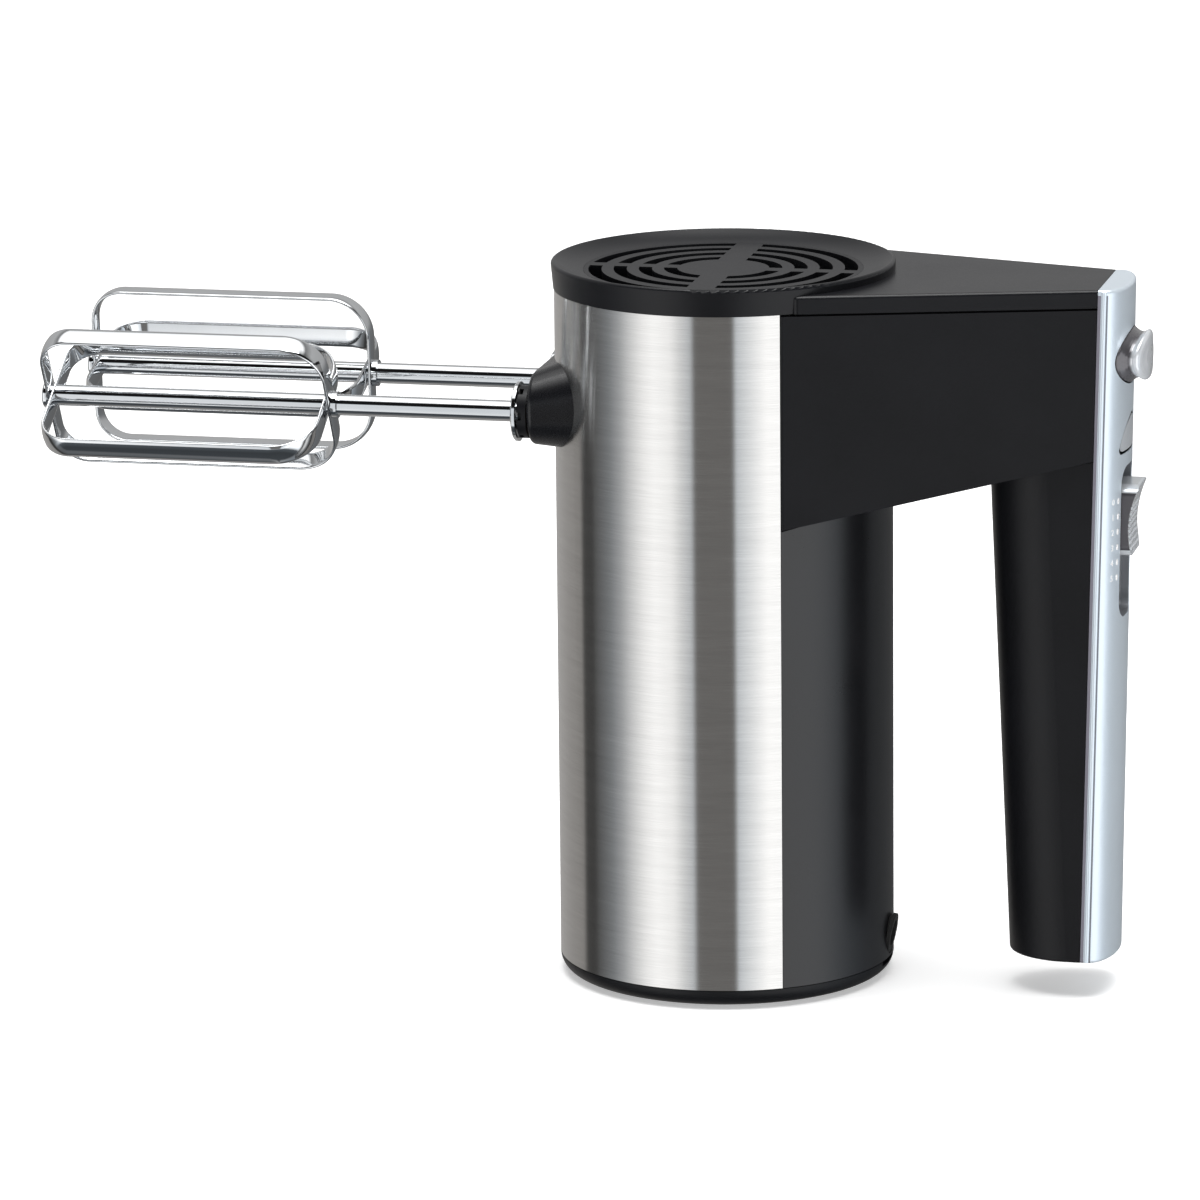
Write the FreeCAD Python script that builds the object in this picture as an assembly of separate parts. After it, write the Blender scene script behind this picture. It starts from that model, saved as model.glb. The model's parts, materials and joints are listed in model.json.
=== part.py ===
import FreeCAD, Part
import math
import os

from FreeCAD import Placement, Rotation, Vector

# Hand mixer with an upright motor body, two beaters and a straight rear grip.
# Origin: centre of the base pad on the table. +Z is up, the beaters point to -X,
# the grip is on the +X side, and the left half of the mixer is on -Y.
os.makedirs("parts", exist_ok=True)

# ---- driving dimensions, in millimetres and degrees ----
BODY_R = 46.0                # outside of the steel sleeve
SLEEVE_WALL = 0.9
LINER_R = 45.0               # plastic liner behind the sleeve
CAVITY_R = 43.0              # inside of the motor body
SLEEVE_BOTTOM = 5.5
SLEEVE_TOP = 191.1
REAR_ANGLE = 59.3            # half angle of the black rear part of the body
BASE_EDGE = 5.3              # height of the rounded base cap
PAD_R = 36.0
PAD_HEIGHT = 1.6
BASE_SCREWS = ((-30, 0), (0, 30), (0, -30))
BASE_SCREW_SEAT = 7.0
BRACKET_Z = 28.0             # underside of the motor's lower bracket

RIM_R = 46.8
RIM_TOP = 198.6
DECK_TOP = 196.0
DECK_WALL = 2.6
COVER_BOTTOM = 191.2
GRILLE_R = 38.0
GRILLE_FIT = 0.06            # gap between the grille and the cover
SLOT_OUTER_R = 36.6
SLOT_PITCH = 6.85
SLOT_WIDTH = 3.6
SLOT_RINGS = 4
SPOKE_WIDE = 3.8             # half widths of the two pairs of spokes
SPOKE_NARROW = 2.2

ARM_FRONT = (23.5, 39.5)     # where the side panel leaves the sleeve
ARM_BACK = (105.3, 16.1)     # where it meets the silver trim
ARM_WALL = 2.4
ARM_TOP = 190.6
DECK_FRONT_X = 26.2          # front corners of the deck, just outside the rim
SEAM_X = 25.1                # the sloping lower edge of the arm starts here
SEAM_Z = 132.6
SEAM_SLOPE = 0.2127
SEAM_GAP = 0.3

GRIP_BOTTOM = 10.0
GRIP_HALF = 16.1
GRIP_NOSE_X = 79.76          # nose, joint and back of the grip at z = 0
GRIP_NOSE_LEAN = -0.0422
GRIP_JOINT_X = 100.94
GRIP_JOINT_LEAN = 0.02204
GRIP_BACK_X = 109.45
GRIP_BACK_LEAN = 0.016
GRIP_NOSE_DEPTH = 18.0
GRIP_WALL = 2.4
GRIP_SCREW_Z = (36.0, 84.0)
SCREW_RECESS = 2.6
SCREW_SEAT = 1.8
TRIM_WALL = 2.2
TRIM_TOP = 196.0
TRIM_FLANK = 1.8             # flat side of the trim, before its back starts to curve
BEAD_R = 0.7
BEAD_X = 1.65                # centre of the bead behind the joint

BEATER_Y = 22.5              # half the distance between the spindles
BEATER_Z = 159.0
SHAFT_R = 2.9
SHAFT_END = -14.0            # inner end of the beater shaft
LOOP_TIP = -184.4
LOOP_ROOT = -103.9
LOOP_R = 22.0
LOOP_WIDTH = 6.5
LOOP_STRIP = 1.2
LOOP_TIP_CORNER = 9.0
LOOP_ROOT_CORNER = 12.0
LOOP_ANGLES = {"left": (30, 120), "right": (4, 106)}    # of the two crossed loops
COLLAR_X = -53.3
COLLAR_R = 8.1
LUG_R = 4.0

BOSS_FRONT = (-48.4, 21.2, 159.9, 9.8)    # x, half spacing of the ends, z, end radius
BOSS_ROOT = (-24.0, 12.2, 162.4, 16.3)
BUSH_R = 6.6
SPINDLE_R = 5.0
SPINDLE_FRONT = -51.2
SPINDLE_BACK = 5.0
RUNNING = 0.05               # radial clearance of a running fit

WORM_STARTS = 2
WHEEL_TEETH = 30
GEAR_MODULE = 1.2
WHEEL_PITCH_R = WHEEL_TEETH * GEAR_MODULE / 2
WORM_PITCH_R = BEATER_Y - WHEEL_PITCH_R
WORM_LEAD = WORM_STARTS * math.pi * GEAR_MODULE
WHEEL_HALF = 4.0

SHAFT_BOTTOM = 22.0
MOTOR_SHAFT_TOP = 187.5
MOTOR_SHAFT_R = 3.0
CORE_BOTTOM = 62.0
CORE_TOP = 100.0
CORE_R = 18.9
AIR_GAP = 0.7
SCREW_X = 27.5
SCREW_Y = 8.0

EJECT_Z = 176.0
EJECT_HOLE = (13.8, 7.65)    # half width and half height of the opening
FORK_X = 13.1
TURBO_Z = 155.2
TURBO_HALF = 10.2
TURBO_LOW = 4.3              # how far it reaches below and above TURBO_Z
TURBO_HIGH = 4.5
TURBO_GAP = 0.75
SLIDER_TOP = 141.3
SLIDER_LENGTH = 19.6
SLIDER_TRAVEL = 16.5
SLIDER_HALF = 8.5
SLIDER_CORNER = 3.8
FACE_TOP = (114.9, 140.0)    # hollowed thumb face: (x, z) at its top, deepest and low points
FACE_DEEP = (112.5, 127.0)
FACE_LOW = (113.2, 122.5)
RECESS_TOP = 146.4
RECESS_BOTTOM = 104.6
RECESS_HALF = 9.0
RECESS_CORNER = 4.8
RECESS_FLOOR = 108.0

INLET_X = 46.4               # mouth of the cord inlet
INLET_Z = 11.6
INLET_R = 3.6
INLET_TILT = 10.0            # the inlet points down and back, under the grip

X_AXIS = Vector(1, 0, 0)
Z_AXIS = Vector(0, 0, 1)
SIDES = {"left": -1, "right": 1}


# ---- small helpers ----
def box(x0, x1, y0, y1, z0, z1):
    return Part.makeBox(x1 - x0, y1 - y0, z1 - z0, Vector(x0, y0, z0))


def rod_z(radius, z0, z1, x=0, y=0):
    return Part.makeCylinder(radius, z1 - z0, Vector(x, y, z0), Z_AXIS)


def rod_x(radius, x0, x1, y=0, z=0):
    return Part.makeCylinder(radius, x1 - x0, Vector(x0, y, z), X_AXIS)


def tube_z(outer, inner, z0, z1, x=0, y=0):
    return rod_z(outer, z0, z1, x, y).cut(rod_z(inner, z0 - 1, z1 + 1, x, y))


def tube_x(outer, inner, x0, x1, y=0, z=0):
    return rod_x(outer, x0, x1, y, z).cut(rod_x(inner, x0 - 1, x1 + 1, y, z))


def oval_x(half_y, half_z, x0, x1, z):
    """Oval prism along X."""
    curve = Part.Ellipse(Vector(x0, half_y, z), Vector(x0, 0, z + half_z), Vector(x0, 0, z))
    return Part.Face(Part.Wire(curve.toShape())).extrude(Vector(x1 - x0, 0, 0))


def join(shapes):
    whole = shapes[0].multiFuse(shapes[1:])
    return whole.removeSplitter()


def polygon(points):
    return Part.makePolygon(points + [points[0]])


def prism(outline, z0, z1):
    face = Part.Face(polygon([Vector(x, y, z0) for x, y in outline]))
    return face.extrude(Vector(0, 0, z1 - z0))


def turned(profile, centre=Vector(0, 0, 0), axis=Z_AXIS):
    """Solid of revolution of (radius, height) points about +Z, then laid along axis."""
    face = Part.Face(polygon([Vector(r, 0, h) for r, h in profile]))
    solid = face.revolve(Vector(0, 0, 0), Z_AXIS, 360)
    solid.Placement = Placement(centre, Rotation(Z_AXIS, axis))
    return solid


def spun(shape, angle, centre, axis):
    copy = shape.copy()
    copy.rotate(centre, axis, angle)
    return copy


def moved(shape, x=0, y=0, z=0):
    copy = shape.copy()
    copy.translate(Vector(x, y, z))
    return copy


def rounded(shape, radius, wanted):
    """Fillet the edges for which wanted(edge) is true."""
    edges = [edge for edge in shape.Edges if wanted(edge)]
    return shape.makeFillet(radius, edges)


def is_upright(edge):
    low, high = edge.BoundBox.ZMin, edge.BoundBox.ZMax
    return len(edge.Vertexes) == 2 and high - low > 1 and edge.BoundBox.XLength < 0.01


def rear_wedge(half_angle, reach=80, z0=-10, z1=220):
    """The part of space behind the body, within half_angle of +X."""
    x = reach * math.cos(math.radians(half_angle))
    y = reach * math.sin(math.radians(half_angle))
    far = 2 * reach
    return prism([(0, 0), (x, -y), (far, -y), (far, y), (x, y)], z0, z1)


def below_seam(offset):
    """Everything under the arm's sloping lower edge, moved up by offset."""
    z_front = SEAM_Z + SEAM_SLOPE * (-60 - SEAM_X) + offset
    z_back = SEAM_Z + SEAM_SLOPE * (160 - SEAM_X) + offset
    corners = [(-60, -50), (160, -50), (160, z_back), (-60, z_front)]
    face = Part.Face(polygon([Vector(x, -60, z) for x, z in corners]))
    return face.extrude(Vector(0, 120, 0))


def save(node, shapes):
    solids = []
    for shape in shapes:
        solids.extend(shape.Solids)
    whole = solids[0] if len(solids) == 1 else Part.makeCompound(solids)
    if not whole.isValid():
        print("not valid:", node)
    whole.exportStep("parts/%s.step" % node)
    print("%-24s %2d solid(s) %10.1f mm3" % (node, len(solids), whole.Volume))


# ---- motor body ----
def base_pad():
    pad = rod_z(PAD_R, 0, PAD_HEIGHT)
    grooves = [tube_z(r, r - 1.2, -1, 0.5) for r in (14.0, 21.0, 28.0)]
    return pad.cut(Part.makeCompound(grooves))


def base_cap():
    edge_r = 5.0
    floor = 0.5
    wire = Part.Wire([
        Part.makeLine(Vector(0, 0, floor), Vector(BODY_R - edge_r, 0, floor)),
        Part.Arc(
            Vector(BODY_R - edge_r, 0, floor),
            Vector(BODY_R - edge_r * 0.29, 0, floor + (BASE_EDGE - floor) * 0.29),
            Vector(BODY_R, 0, BASE_EDGE),
        ).toShape(),
        Part.makeLine(Vector(BODY_R, 0, BASE_EDGE), Vector(42.9, 0, BASE_EDGE)),
        Part.makeLine(Vector(42.9, 0, BASE_EDGE), Vector(42.9, 0, 11)),
        Part.makeLine(Vector(42.9, 0, 11), Vector(40.6, 0, 11)),
        Part.makeLine(Vector(40.6, 0, 11), Vector(40.6, 0, 4)),
        Part.makeLine(Vector(40.6, 0, 4), Vector(0, 0, 4)),
        Part.makeLine(Vector(0, 0, 4), Vector(0, 0, floor)),
    ])
    cap = Part.Face(wire).revolve(Vector(0, 0, 0), Z_AXIS, 360)
    pocket = rod_z(PAD_R + 0.1, -1, PAD_HEIGHT)
    inlet_room = box(30, 60, -8.2, 8.2, 4, 30)
    posts = []
    holes = []
    for x, y in BASE_SCREWS:
        posts.append(rod_z(4.2, 3.9, BRACKET_Z, x, y))
        holes.append(rod_z(1.7, -1, 40, x, y))
        holes.append(rod_z(3.0, -1, BASE_SCREW_SEAT, x, y))
    cap = join([cap] + posts)
    return cap.cut(Part.makeCompound([pocket, inlet_room] + holes))


def base_screws():
    screws = []
    for x, y in BASE_SCREWS:
        shank = rod_z(1.5, BASE_SCREW_SEAT, BRACKET_Z + 4, x, y)
        head = rod_z(2.8, BASE_SCREW_SEAT - 2, BASE_SCREW_SEAT, x, y)
        screws.append(shank.fuse(head).removeSplitter())
    return screws


def spindle_holes(radius, x0, x1):
    holes = [rod_x(radius, x0, x1, s * BEATER_Y, BEATER_Z) for s in SIDES.values()]
    return Part.makeCompound(holes)


def steel_sleeve():
    shell = tube_z(BODY_R, BODY_R - SLEEVE_WALL, SLEEVE_BOTTOM, SLEEVE_TOP)
    shell = shell.cut(rear_wedge(REAR_ANGLE))
    return shell.cut(spindle_holes(BUSH_R + 0.3, -60, -20))


def front_liner():
    shell = tube_z(LINER_R, CAVITY_R, SLEEVE_BOTTOM, SLEEVE_TOP)
    shell = shell.cut(rear_wedge(REAR_ANGLE + 0.2))
    return shell.cut(spindle_holes(BUSH_R + 0.3, -60, -20))


def rear_shell():
    shell = tube_z(BODY_R, CAVITY_R, SLEEVE_BOTTOM, 200)
    shell = shell.common(rear_wedge(REAR_ANGLE - 0.2))
    shell = shell.common(below_seam(-SEAM_GAP))
    seat = join([inlet_part(5.0, -16, 14), inlet_part(5.7, -0.9, 14)])
    return shell.cut(seat)


def inlet_part(radius, start, end):
    """Cylinder on the inlet's tilted axis; start and end are measured from its mouth."""
    rod = rod_x(radius, INLET_X + start, INLET_X + end, 0, INLET_Z)
    return spun(rod, INLET_TILT, Vector(INLET_X, 0, INLET_Z), Vector(0, 1, 0))


def cord_inlet():
    barrel = inlet_part(4.9, -6.4, 0.3)
    inner_flange = inlet_part(6.4, -6.4, -5.0)
    lip = inlet_part(5.5, -0.7, 0.3)
    return join([barrel, inner_flange, lip]).cut(inlet_part(INLET_R, -20, 20))


# ---- top cover and vent grille ----
def cover_ring():
    inner = GRILLE_R + GRILLE_FIT
    outline = Part.Wire([
        Part.makeLine(Vector(43.6, 0, COVER_BOTTOM), Vector(46.2, 0, COVER_BOTTOM)),
        Part.makeLine(Vector(46.2, 0, COVER_BOTTOM), Vector(RIM_R, 0, RIM_TOP - 0.9)),
        Part.Arc(
            Vector(RIM_R, 0, RIM_TOP - 0.9),
            Vector(RIM_R - 0.3, 0, RIM_TOP - 0.22),
            Vector(RIM_R - 1.0, 0, RIM_TOP),
        ).toShape(),
        Part.Arc(
            Vector(RIM_R - 1.0, 0, RIM_TOP),
            Vector(41.4, 0, 196.75),
            Vector(inner, 0, DECK_TOP),
        ).toShape(),
        Part.makeLine(Vector(inner, 0, DECK_TOP), Vector(inner, 0, 193.1)),
        Part.makeLine(Vector(inner, 0, 193.1), Vector(36.5, 0, 193.1)),
        Part.makeLine(Vector(36.5, 0, 193.1), Vector(36.5, 0, COVER_BOTTOM)),
        Part.makeLine(Vector(36.5, 0, COVER_BOTTOM), Vector(40.4, 0, COVER_BOTTOM)),
        Part.makeLine(Vector(40.4, 0, COVER_BOTTOM), Vector(42.0, 0, 193.6)),
        Part.makeLine(Vector(42.0, 0, 193.6), Vector(43.6, 0, 193.6)),
        Part.makeLine(Vector(43.6, 0, 193.6), Vector(43.6, 0, COVER_BOTTOM)),
    ])
    return Part.Face(outline).revolve(Vector(0, 0, 0), Z_AXIS, 360)


def panel_y(x, inset):
    """Distance of the arm's side panel from the middle plane, less a wall."""
    slope = (ARM_BACK[1] - ARM_FRONT[1]) / (ARM_BACK[0] - ARM_FRONT[0])
    square = math.hypot(1, slope)
    return ARM_FRONT[1] + slope * (x - ARM_FRONT[0]) - inset * square


def panel_outline(x0, x1, inset):
    y0, y1 = panel_y(x0, inset), panel_y(x1, inset)
    return [(x0, -y0), (x1, -y1), (x1, y1), (x0, y0)]


def joint_x(z):
    return GRIP_JOINT_X + GRIP_JOINT_LEAN * z


def before_joint(gap):
    """Everything in front of the leaning plane where the silver trim starts."""
    corners = [(-80, -20), (joint_x(-20) - gap, -20), (joint_x(230) - gap, 230), (-80, 230)]
    face = Part.Face(polygon([Vector(x, -70, z) for x, z in corners]))
    return face.extrude(Vector(0, 140, 0))


def is_deck_edge(edge):
    """The long top edges of the deck and the short curves at their front ends."""
    long_side = edge.BoundBox.XLength > 10
    corner = 0.5 < edge.BoundBox.XLength < 3 and edge.BoundBox.XMax < DECK_FRONT_X + 3
    return edge.BoundBox.ZMin > DECK_TOP - 0.1 and (long_side or corner)


def top_cover():
    deck = prism(panel_outline(DECK_FRONT_X, 106, 0), COVER_BOTTOM, DECK_TOP)
    deck = rounded(deck, 1.6, lambda e: is_upright(e) and e.BoundBox.XMax < DECK_FRONT_X + 0.1)
    deck = rounded(deck, 1.1, is_deck_edge)
    hollow = prism(panel_outline(-5, 120, ARM_WALL), COVER_BOTTOM - 1, DECK_TOP - DECK_WALL)
    lip_outer = prism(panel_outline(30, 103, ARM_WALL + 0.1), 188.4, DECK_TOP - DECK_WALL)
    lip_inner = prism(panel_outline(20, 120, ARM_WALL + 1.3), 180, 200)
    lip = lip_outer.cut(lip_inner)
    opening = rod_z(GRILLE_R + GRILLE_FIT, 180, 200)
    rim_room = rod_z(46.0, 180, 200)
    deck = deck.cut(hollow).common(before_joint(0.15))
    deck = join([deck.cut(rim_room), cover_ring(), lip.cut(rod_z(43.7, 180, 200))])
    return deck.cut(opening.common(box(-50, 50, -50, 50, 193.1, 200)))


def vent_grille():
    disc = rod_z(GRILLE_R, 193.1, DECK_TOP)
    rings = []
    for ring in range(SLOT_RINGS):
        outer = SLOT_OUTER_R - ring * SLOT_PITCH
        rings.append(tube_z(outer, outer - SLOT_WIDTH, 190, 200))
    spokes = [
        box(-SPOKE_WIDE, SPOKE_WIDE, -60, 60, 180, 210),
        box(-60, 60, -SPOKE_NARROW, SPOKE_NARROW, 180, 210),
    ]
    slots = Part.makeCompound(rings).cut(Part.makeCompound(spokes))
    return disc.cut(slots)


# ---- arm ----
def arm_shell():
    x, y = ARM_FRONT
    outline = [(0, 0)] + panel_outline(x, 108, 0)
    outer = prism(outline, 100, ARM_TOP)
    outer = rounded(outer, 1.0, lambda e: is_upright(e) and abs(e.BoundBox.XMin - x) < 0.1)
    inner = prism(panel_outline(-10, 120, ARM_WALL), 90, 220).cut(below_seam(ARM_WALL))
    shell = outer.cut(below_seam(0)).cut(inner)
    shell = shell.cut(rod_z(CAVITY_R + 0.1, 90, 220)).common(before_joint(0.15))
    shell = shell.common(rear_wedge(REAR_ANGLE - 0.2))
    grip_room = grip_section_solid(GRIP_WALL, 120, 200).cut(below_seam(-5))
    return shell.cut(grip_room)


def arm_halves():
    whole = arm_shell()
    left = whole.common(box(-50, 150, -60, 0, 90, 220))
    right = whole.common(box(-50, 150, 0, 60, 90, 220))
    return left, right


# ---- grip and trim ----
def grip_wire(z, inset, x_joint):
    nose = GRIP_NOSE_X + GRIP_NOSE_LEAN * z + inset
    half = GRIP_HALF - inset
    x_side = nose + GRIP_NOSE_DEPTH - inset
    curve = Part.Ellipse(Vector(x_side, 0, z), x_side - nose, half)
    nose_edge = arc_of(curve, Vector(x_side, half, z), Vector(x_side, -half, z), Vector(nose, 0, z))
    return Part.Wire([
        Part.makeLine(Vector(x_joint, half, z), Vector(x_side, half, z)),
        nose_edge,
        Part.makeLine(Vector(x_side, -half, z), Vector(x_joint, -half, z)),
        Part.makeLine(Vector(x_joint, -half, z), Vector(x_joint, half, z)),
    ])


def arc_of(curve, start, end, through):
    """The stretch of a closed curve from start to end that passes near through."""
    a, b = curve.parameter(start), curve.parameter(end)
    span = (b - a) % (2 * math.pi)
    middle = curve.value(a + span / 2)
    if middle.distanceToPoint(through) > 1:
        a, b = b, a
        span = (b - a) % (2 * math.pi)
    return Part.ArcOfEllipse(curve, a, a + span).toShape()


def grip_section_solid(inset, z0, z1):
    wires = [grip_wire(z, inset, joint_x(z) + 2) for z in (z0, z1)]
    return Part.makeLoft(wires, True, True)


def nose_x(z):
    return GRIP_NOSE_X + GRIP_NOSE_LEAN * z


def grip_shell():
    outer = grip_section_solid(0, GRIP_BOTTOM, 170)
    outer = rounded(outer, 0.8, lambda e: e.BoundBox.ZMax < GRIP_BOTTOM + 0.1)
    inner = grip_section_solid(GRIP_WALL, GRIP_BOTTOM + GRIP_WALL, 180)
    shell = outer.cut(inner).common(before_joint(0.15)).common(below_seam(-SEAM_GAP))
    seats = []
    cuts = []
    for z in GRIP_SCREW_Z:
        seat = nose_x(z) + SCREW_RECESS
        seats.append(rod_x(5.2, seat - 1.2, seat + SCREW_SEAT, 0, z))
        cuts.append(rod_x(1.8, 60, 90, 0, z))
        cuts.append(rod_x(3.4, 60, seat, 0, z))
    return join([shell] + seats).cut(Part.makeCompound(cuts))


def grip_screws():
    screws = []
    for z in GRIP_SCREW_Z:
        seat = nose_x(z) + SCREW_RECESS
        head = rod_x(3.0, seat - 1.8, seat, 0, z)
        shank = rod_x(1.5, seat, seat + 14, 0, z)
        cross = [box(seat - 3, seat - 1.2, -w, w, z - h, z + h) for w, h in ((1.9, 0.4), (0.4, 1.9))]
        screws.append(head.fuse(shank).removeSplitter().cut(Part.makeCompound(cross)))
    return screws


def trim_wire(z, inset):
    x0 = joint_x(z)
    back = GRIP_BACK_X + GRIP_BACK_LEAN * z - inset
    half = GRIP_HALF - inset
    x_side = x0 + TRIM_FLANK
    curve = Part.Ellipse(Vector(x_side, half, z), Vector(back, 0, z), Vector(x_side, 0, z))
    back_edge = arc_of(curve, Vector(x_side, -half, z), Vector(x_side, half, z), Vector(back, 0, z))
    start = x0 if inset == 0 else x0 - 2
    return Part.Wire([
        Part.makeLine(Vector(start, -half, z), Vector(x_side, -half, z)),
        back_edge,
        Part.makeLine(Vector(x_side, half, z), Vector(start, half, z)),
        Part.makeLine(Vector(start, half, z), Vector(start, -half, z)),
    ])


def trim_back_x(z):
    return GRIP_BACK_X + GRIP_BACK_LEAN * z


def trim_bead(side):
    z0, z1 = GRIP_BOTTOM, TRIM_TOP
    y = side * (GRIP_HALF - 0.3)
    start = Vector(joint_x(z0) + BEAD_X, y, z0)
    end = Vector(joint_x(z1) + BEAD_X, y, z1)
    path = end - start
    bead = Part.makeCylinder(BEAD_R, path.Length + 4, start - path.normalize() * 2, path)
    return bead.common(box(90, 120, -30, 30, z0 + 0.3, z1 - 0.5))


def rounded_block(x0, x1, half, z0, z1, radius):
    block = box(x0, x1, -half, half, z0, z1)
    return rounded(block, radius, lambda e: e.BoundBox.XLength > (x1 - x0) * 0.9)


def turbo_outline(grow):
    """Rounded triangle with its point up, as points and arcs in the YZ plane."""
    low, high = TURBO_Z - TURBO_LOW - grow, TURBO_Z + TURBO_HIGH + grow
    half = TURBO_HALF + grow
    corner = 1.6
    point = 2.4
    left_low = Vector(0, -half + corner, low)
    right_low = Vector(0, half - corner, low)
    left_side = Vector(0, -half, low + corner)
    right_side = Vector(0, half, low + corner)
    left_top = Vector(0, -point, high - 0.7)
    right_top = Vector(0, point, high - 0.7)
    cut_in = corner * 0.29
    mid_y = (half + point) / 2 + 0.6
    mid_z = (low + corner + high - 0.7) / 2 + 1.2
    return Part.Wire([
        Part.makeLine(left_low, right_low),
        Part.Arc(right_low, Vector(0, half - cut_in, low + cut_in), right_side).toShape(),
        Part.Arc(right_side, Vector(0, mid_y, mid_z), right_top).toShape(),
        Part.Arc(right_top, Vector(0, 0, high), left_top).toShape(),
        Part.Arc(left_top, Vector(0, -mid_y, mid_z), left_side).toShape(),
        Part.Arc(left_side, Vector(0, -half + cut_in, low + cut_in), left_low).toShape(),
    ])


def turbo_block(grow, x0, x1):
    wire = turbo_outline(grow)
    wire.translate(Vector(x0, 0, 0))
    return Part.Face(wire).extrude(Vector(x1 - x0, 0, 0))


def trim_solid(inset, z0, z1):
    return Part.makeLoft([trim_wire(z, inset) for z in (z0, z1)], True, True)


def handle_trim():
    outer = trim_solid(0, GRIP_BOTTOM, TRIM_TOP)
    outer = rounded(
        outer, 0.9,
        lambda e: e.BoundBox.YLength > 25 and e.BoundBox.XLength > 3 and e.BoundBox.ZLength < 0.1,
    )
    inner = trim_solid(TRIM_WALL, GRIP_BOTTOM + TRIM_WALL, TRIM_TOP - TRIM_WALL)
    shell = outer.cut(inner)
    pocket_wall = rounded_block(
        RECESS_FLOOR - 2.0, 118, RECESS_HALF + 1.8,
        RECESS_BOTTOM - 1.8, RECESS_TOP + 1.8, RECESS_CORNER + 1.8,
    ).common(trim_solid(0.3, GRIP_BOTTOM, TRIM_TOP))
    posts = []
    for z in GRIP_SCREW_Z:
        start = nose_x(z) + SCREW_RECESS + SCREW_SEAT + 0.1
        post = tube_x(3.6, 1.5, start, trim_back_x(z) - 1.5, 0, z)
        posts.append(post)
    shell = join([shell, pocket_wall, trim_bead(-1), trim_bead(1)] + posts)
    recess = rounded_block(
        RECESS_FLOOR, 125, RECESS_HALF, RECESS_BOTTOM, RECESS_TOP, RECESS_CORNER
    )
    centre = SLIDER_TOP - SLIDER_LENGTH / 2
    slot = box(100, 112, -1.8, 1.8, centre - SLIDER_TRAVEL - 5.4, centre + 5.4)
    eject_hole = oval_x(EJECT_HOLE[0], EJECT_HOLE[1], 100, 125, EJECT_Z)
    turbo_hole = turbo_block(TURBO_GAP, 100, 125)
    return shell.cut(Part.makeCompound([recess, slot, eject_hole, turbo_hole]))


# ---- controls ----
def trim_drop(y):
    """How far the back of the trim falls away at distance y from its middle, by the button."""
    depth = trim_back_x(EJECT_Z) - joint_x(EJECT_Z) - TRIM_FLANK
    return depth * (1 - math.sqrt(1 - (y / GRIP_HALF) ** 2))


def button_ring(x, half_y, half_z, bend):
    """Oval round the button; with a bend of 1 it follows the curved back of the trim."""
    points = []
    for step in range(48):
        angle = 2 * math.pi * step / 48
        y = half_y * math.cos(angle)
        z = EJECT_Z + half_z * math.sin(angle)
        points.append(Vector(x - bend * trim_drop(y), y, z))
    curve = Part.BSplineCurve()
    curve.interpolate(Points=points, PeriodicFlag=True)
    return Part.Wire(curve.toShape())


def eject_button():
    """Oval button: a full skirt, a hollowed waist and a flared, crowned head."""
    back = trim_back_x(EJECT_Z)
    rings = [
        (104.5, 12.8, 7.25, 0), (105.5, 12.8, 7.25, 0),
        (back - 0.3, 13.42, 7.28, 1), (back + 0.1, 13.4, 7.25, 1), (back + 0.4, 13.15, 7.05, 1),
        (back + 0.8, 12.6, 6.65, 1), (back + 1.3, 12.0, 6.3, 1), (back + 1.9, 11.5, 6.05, 1),
        (back + 2.6, 11.25, 5.95, 1), (back + 3.1, 11.35, 6.1, 1), (back + 3.5, 11.6, 6.4, 1),
        (back + 3.9, 11.75, 6.6, 1), (back + 4.3, 11.65, 6.52, 1), (back + 4.65, 11.3, 6.2, 1),
        (back + 4.9, 10.6, 5.6, 1), (back + 5.0, 9.4, 4.7, 1), (back + 5.05, 6.0, 3.0, 0.9),
        (back + 5.05, 1.2, 0.7, 0),
    ]
    wires = [button_ring(*ring) for ring in rings]
    knob = Part.makeLoft(wires, True, True)
    socket = rod_x(2.5, 104, 110, 0, EJECT_Z)
    return knob.cut(socket)


def eject_rod():
    rod = rod_x(2.5, FORK_X + 2.2, 110, 0, EJECT_Z)
    spring_stop = rod_x(4.6, 64, 65.5, 0, EJECT_Z)
    return rod.fuse(spring_stop).removeSplitter()


def eject_fork():
    plate = box(FORK_X, FORK_X + 2.2, -27, 27, 156, 180)
    window = box(FORK_X - 1, FORK_X + 4, -12, 12, 150, 168)
    hub = rod_x(4.5, FORK_X, FORK_X + 8, 0, EJECT_Z)
    corners = [box(FORK_X - 1, FORK_X + 4, s * 20 - 8, s * 20 + 8, 170, 190) for s in (-1, 1)]
    corners = [c.cut(rod_x(8, 0, 30, s * 12, 170)) for c, s in zip(corners, (-1, 1))]
    fork = join([plate, hub]).cut(Part.makeCompound([window] + corners))
    return fork.cut(rod_x(2.5, FORK_X + 2.2, FORK_X + 20, 0, EJECT_Z))


def rod_guide():
    """Bracket across the arm that guides the rod and backs its return spring."""
    y = panel_y(44, ARM_WALL) - 0.4
    bar = box(42, 46, -y, y, EJECT_Z - 5, EJECT_Z + 5)
    low, high = EJECT_Z - 5, EJECT_Z + 5
    foot = [box(42, 56, s * (y - 1.5) - 1.5, s * (y - 1.5) + 1.5, low, high) for s in (-1, 1)]
    trimmed = join([bar] + foot).common(prism(panel_outline(30, 100, ARM_WALL + 0.1), 100, 200))
    return trimmed.cut(rod_x(2.5 + RUNNING, 30, 60, 0, EJECT_Z))


def coil(radius, wire_r, pitch, length):
    helix = Part.makeHelix(pitch, length, radius)
    section = Part.Wire(Part.makeCircle(wire_r, Vector(radius, 0, 0), Vector(0, 1, 0)))
    return Part.Wire(helix.Edges).makePipeShell([section], True, True)


def eject_spring():
    spring = coil(3.7, 0.4, 2.2, 16.8)
    spring.Placement = Placement(Vector(46.7, 0, EJECT_Z), Rotation(Z_AXIS, X_AXIS))
    return spring


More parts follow.
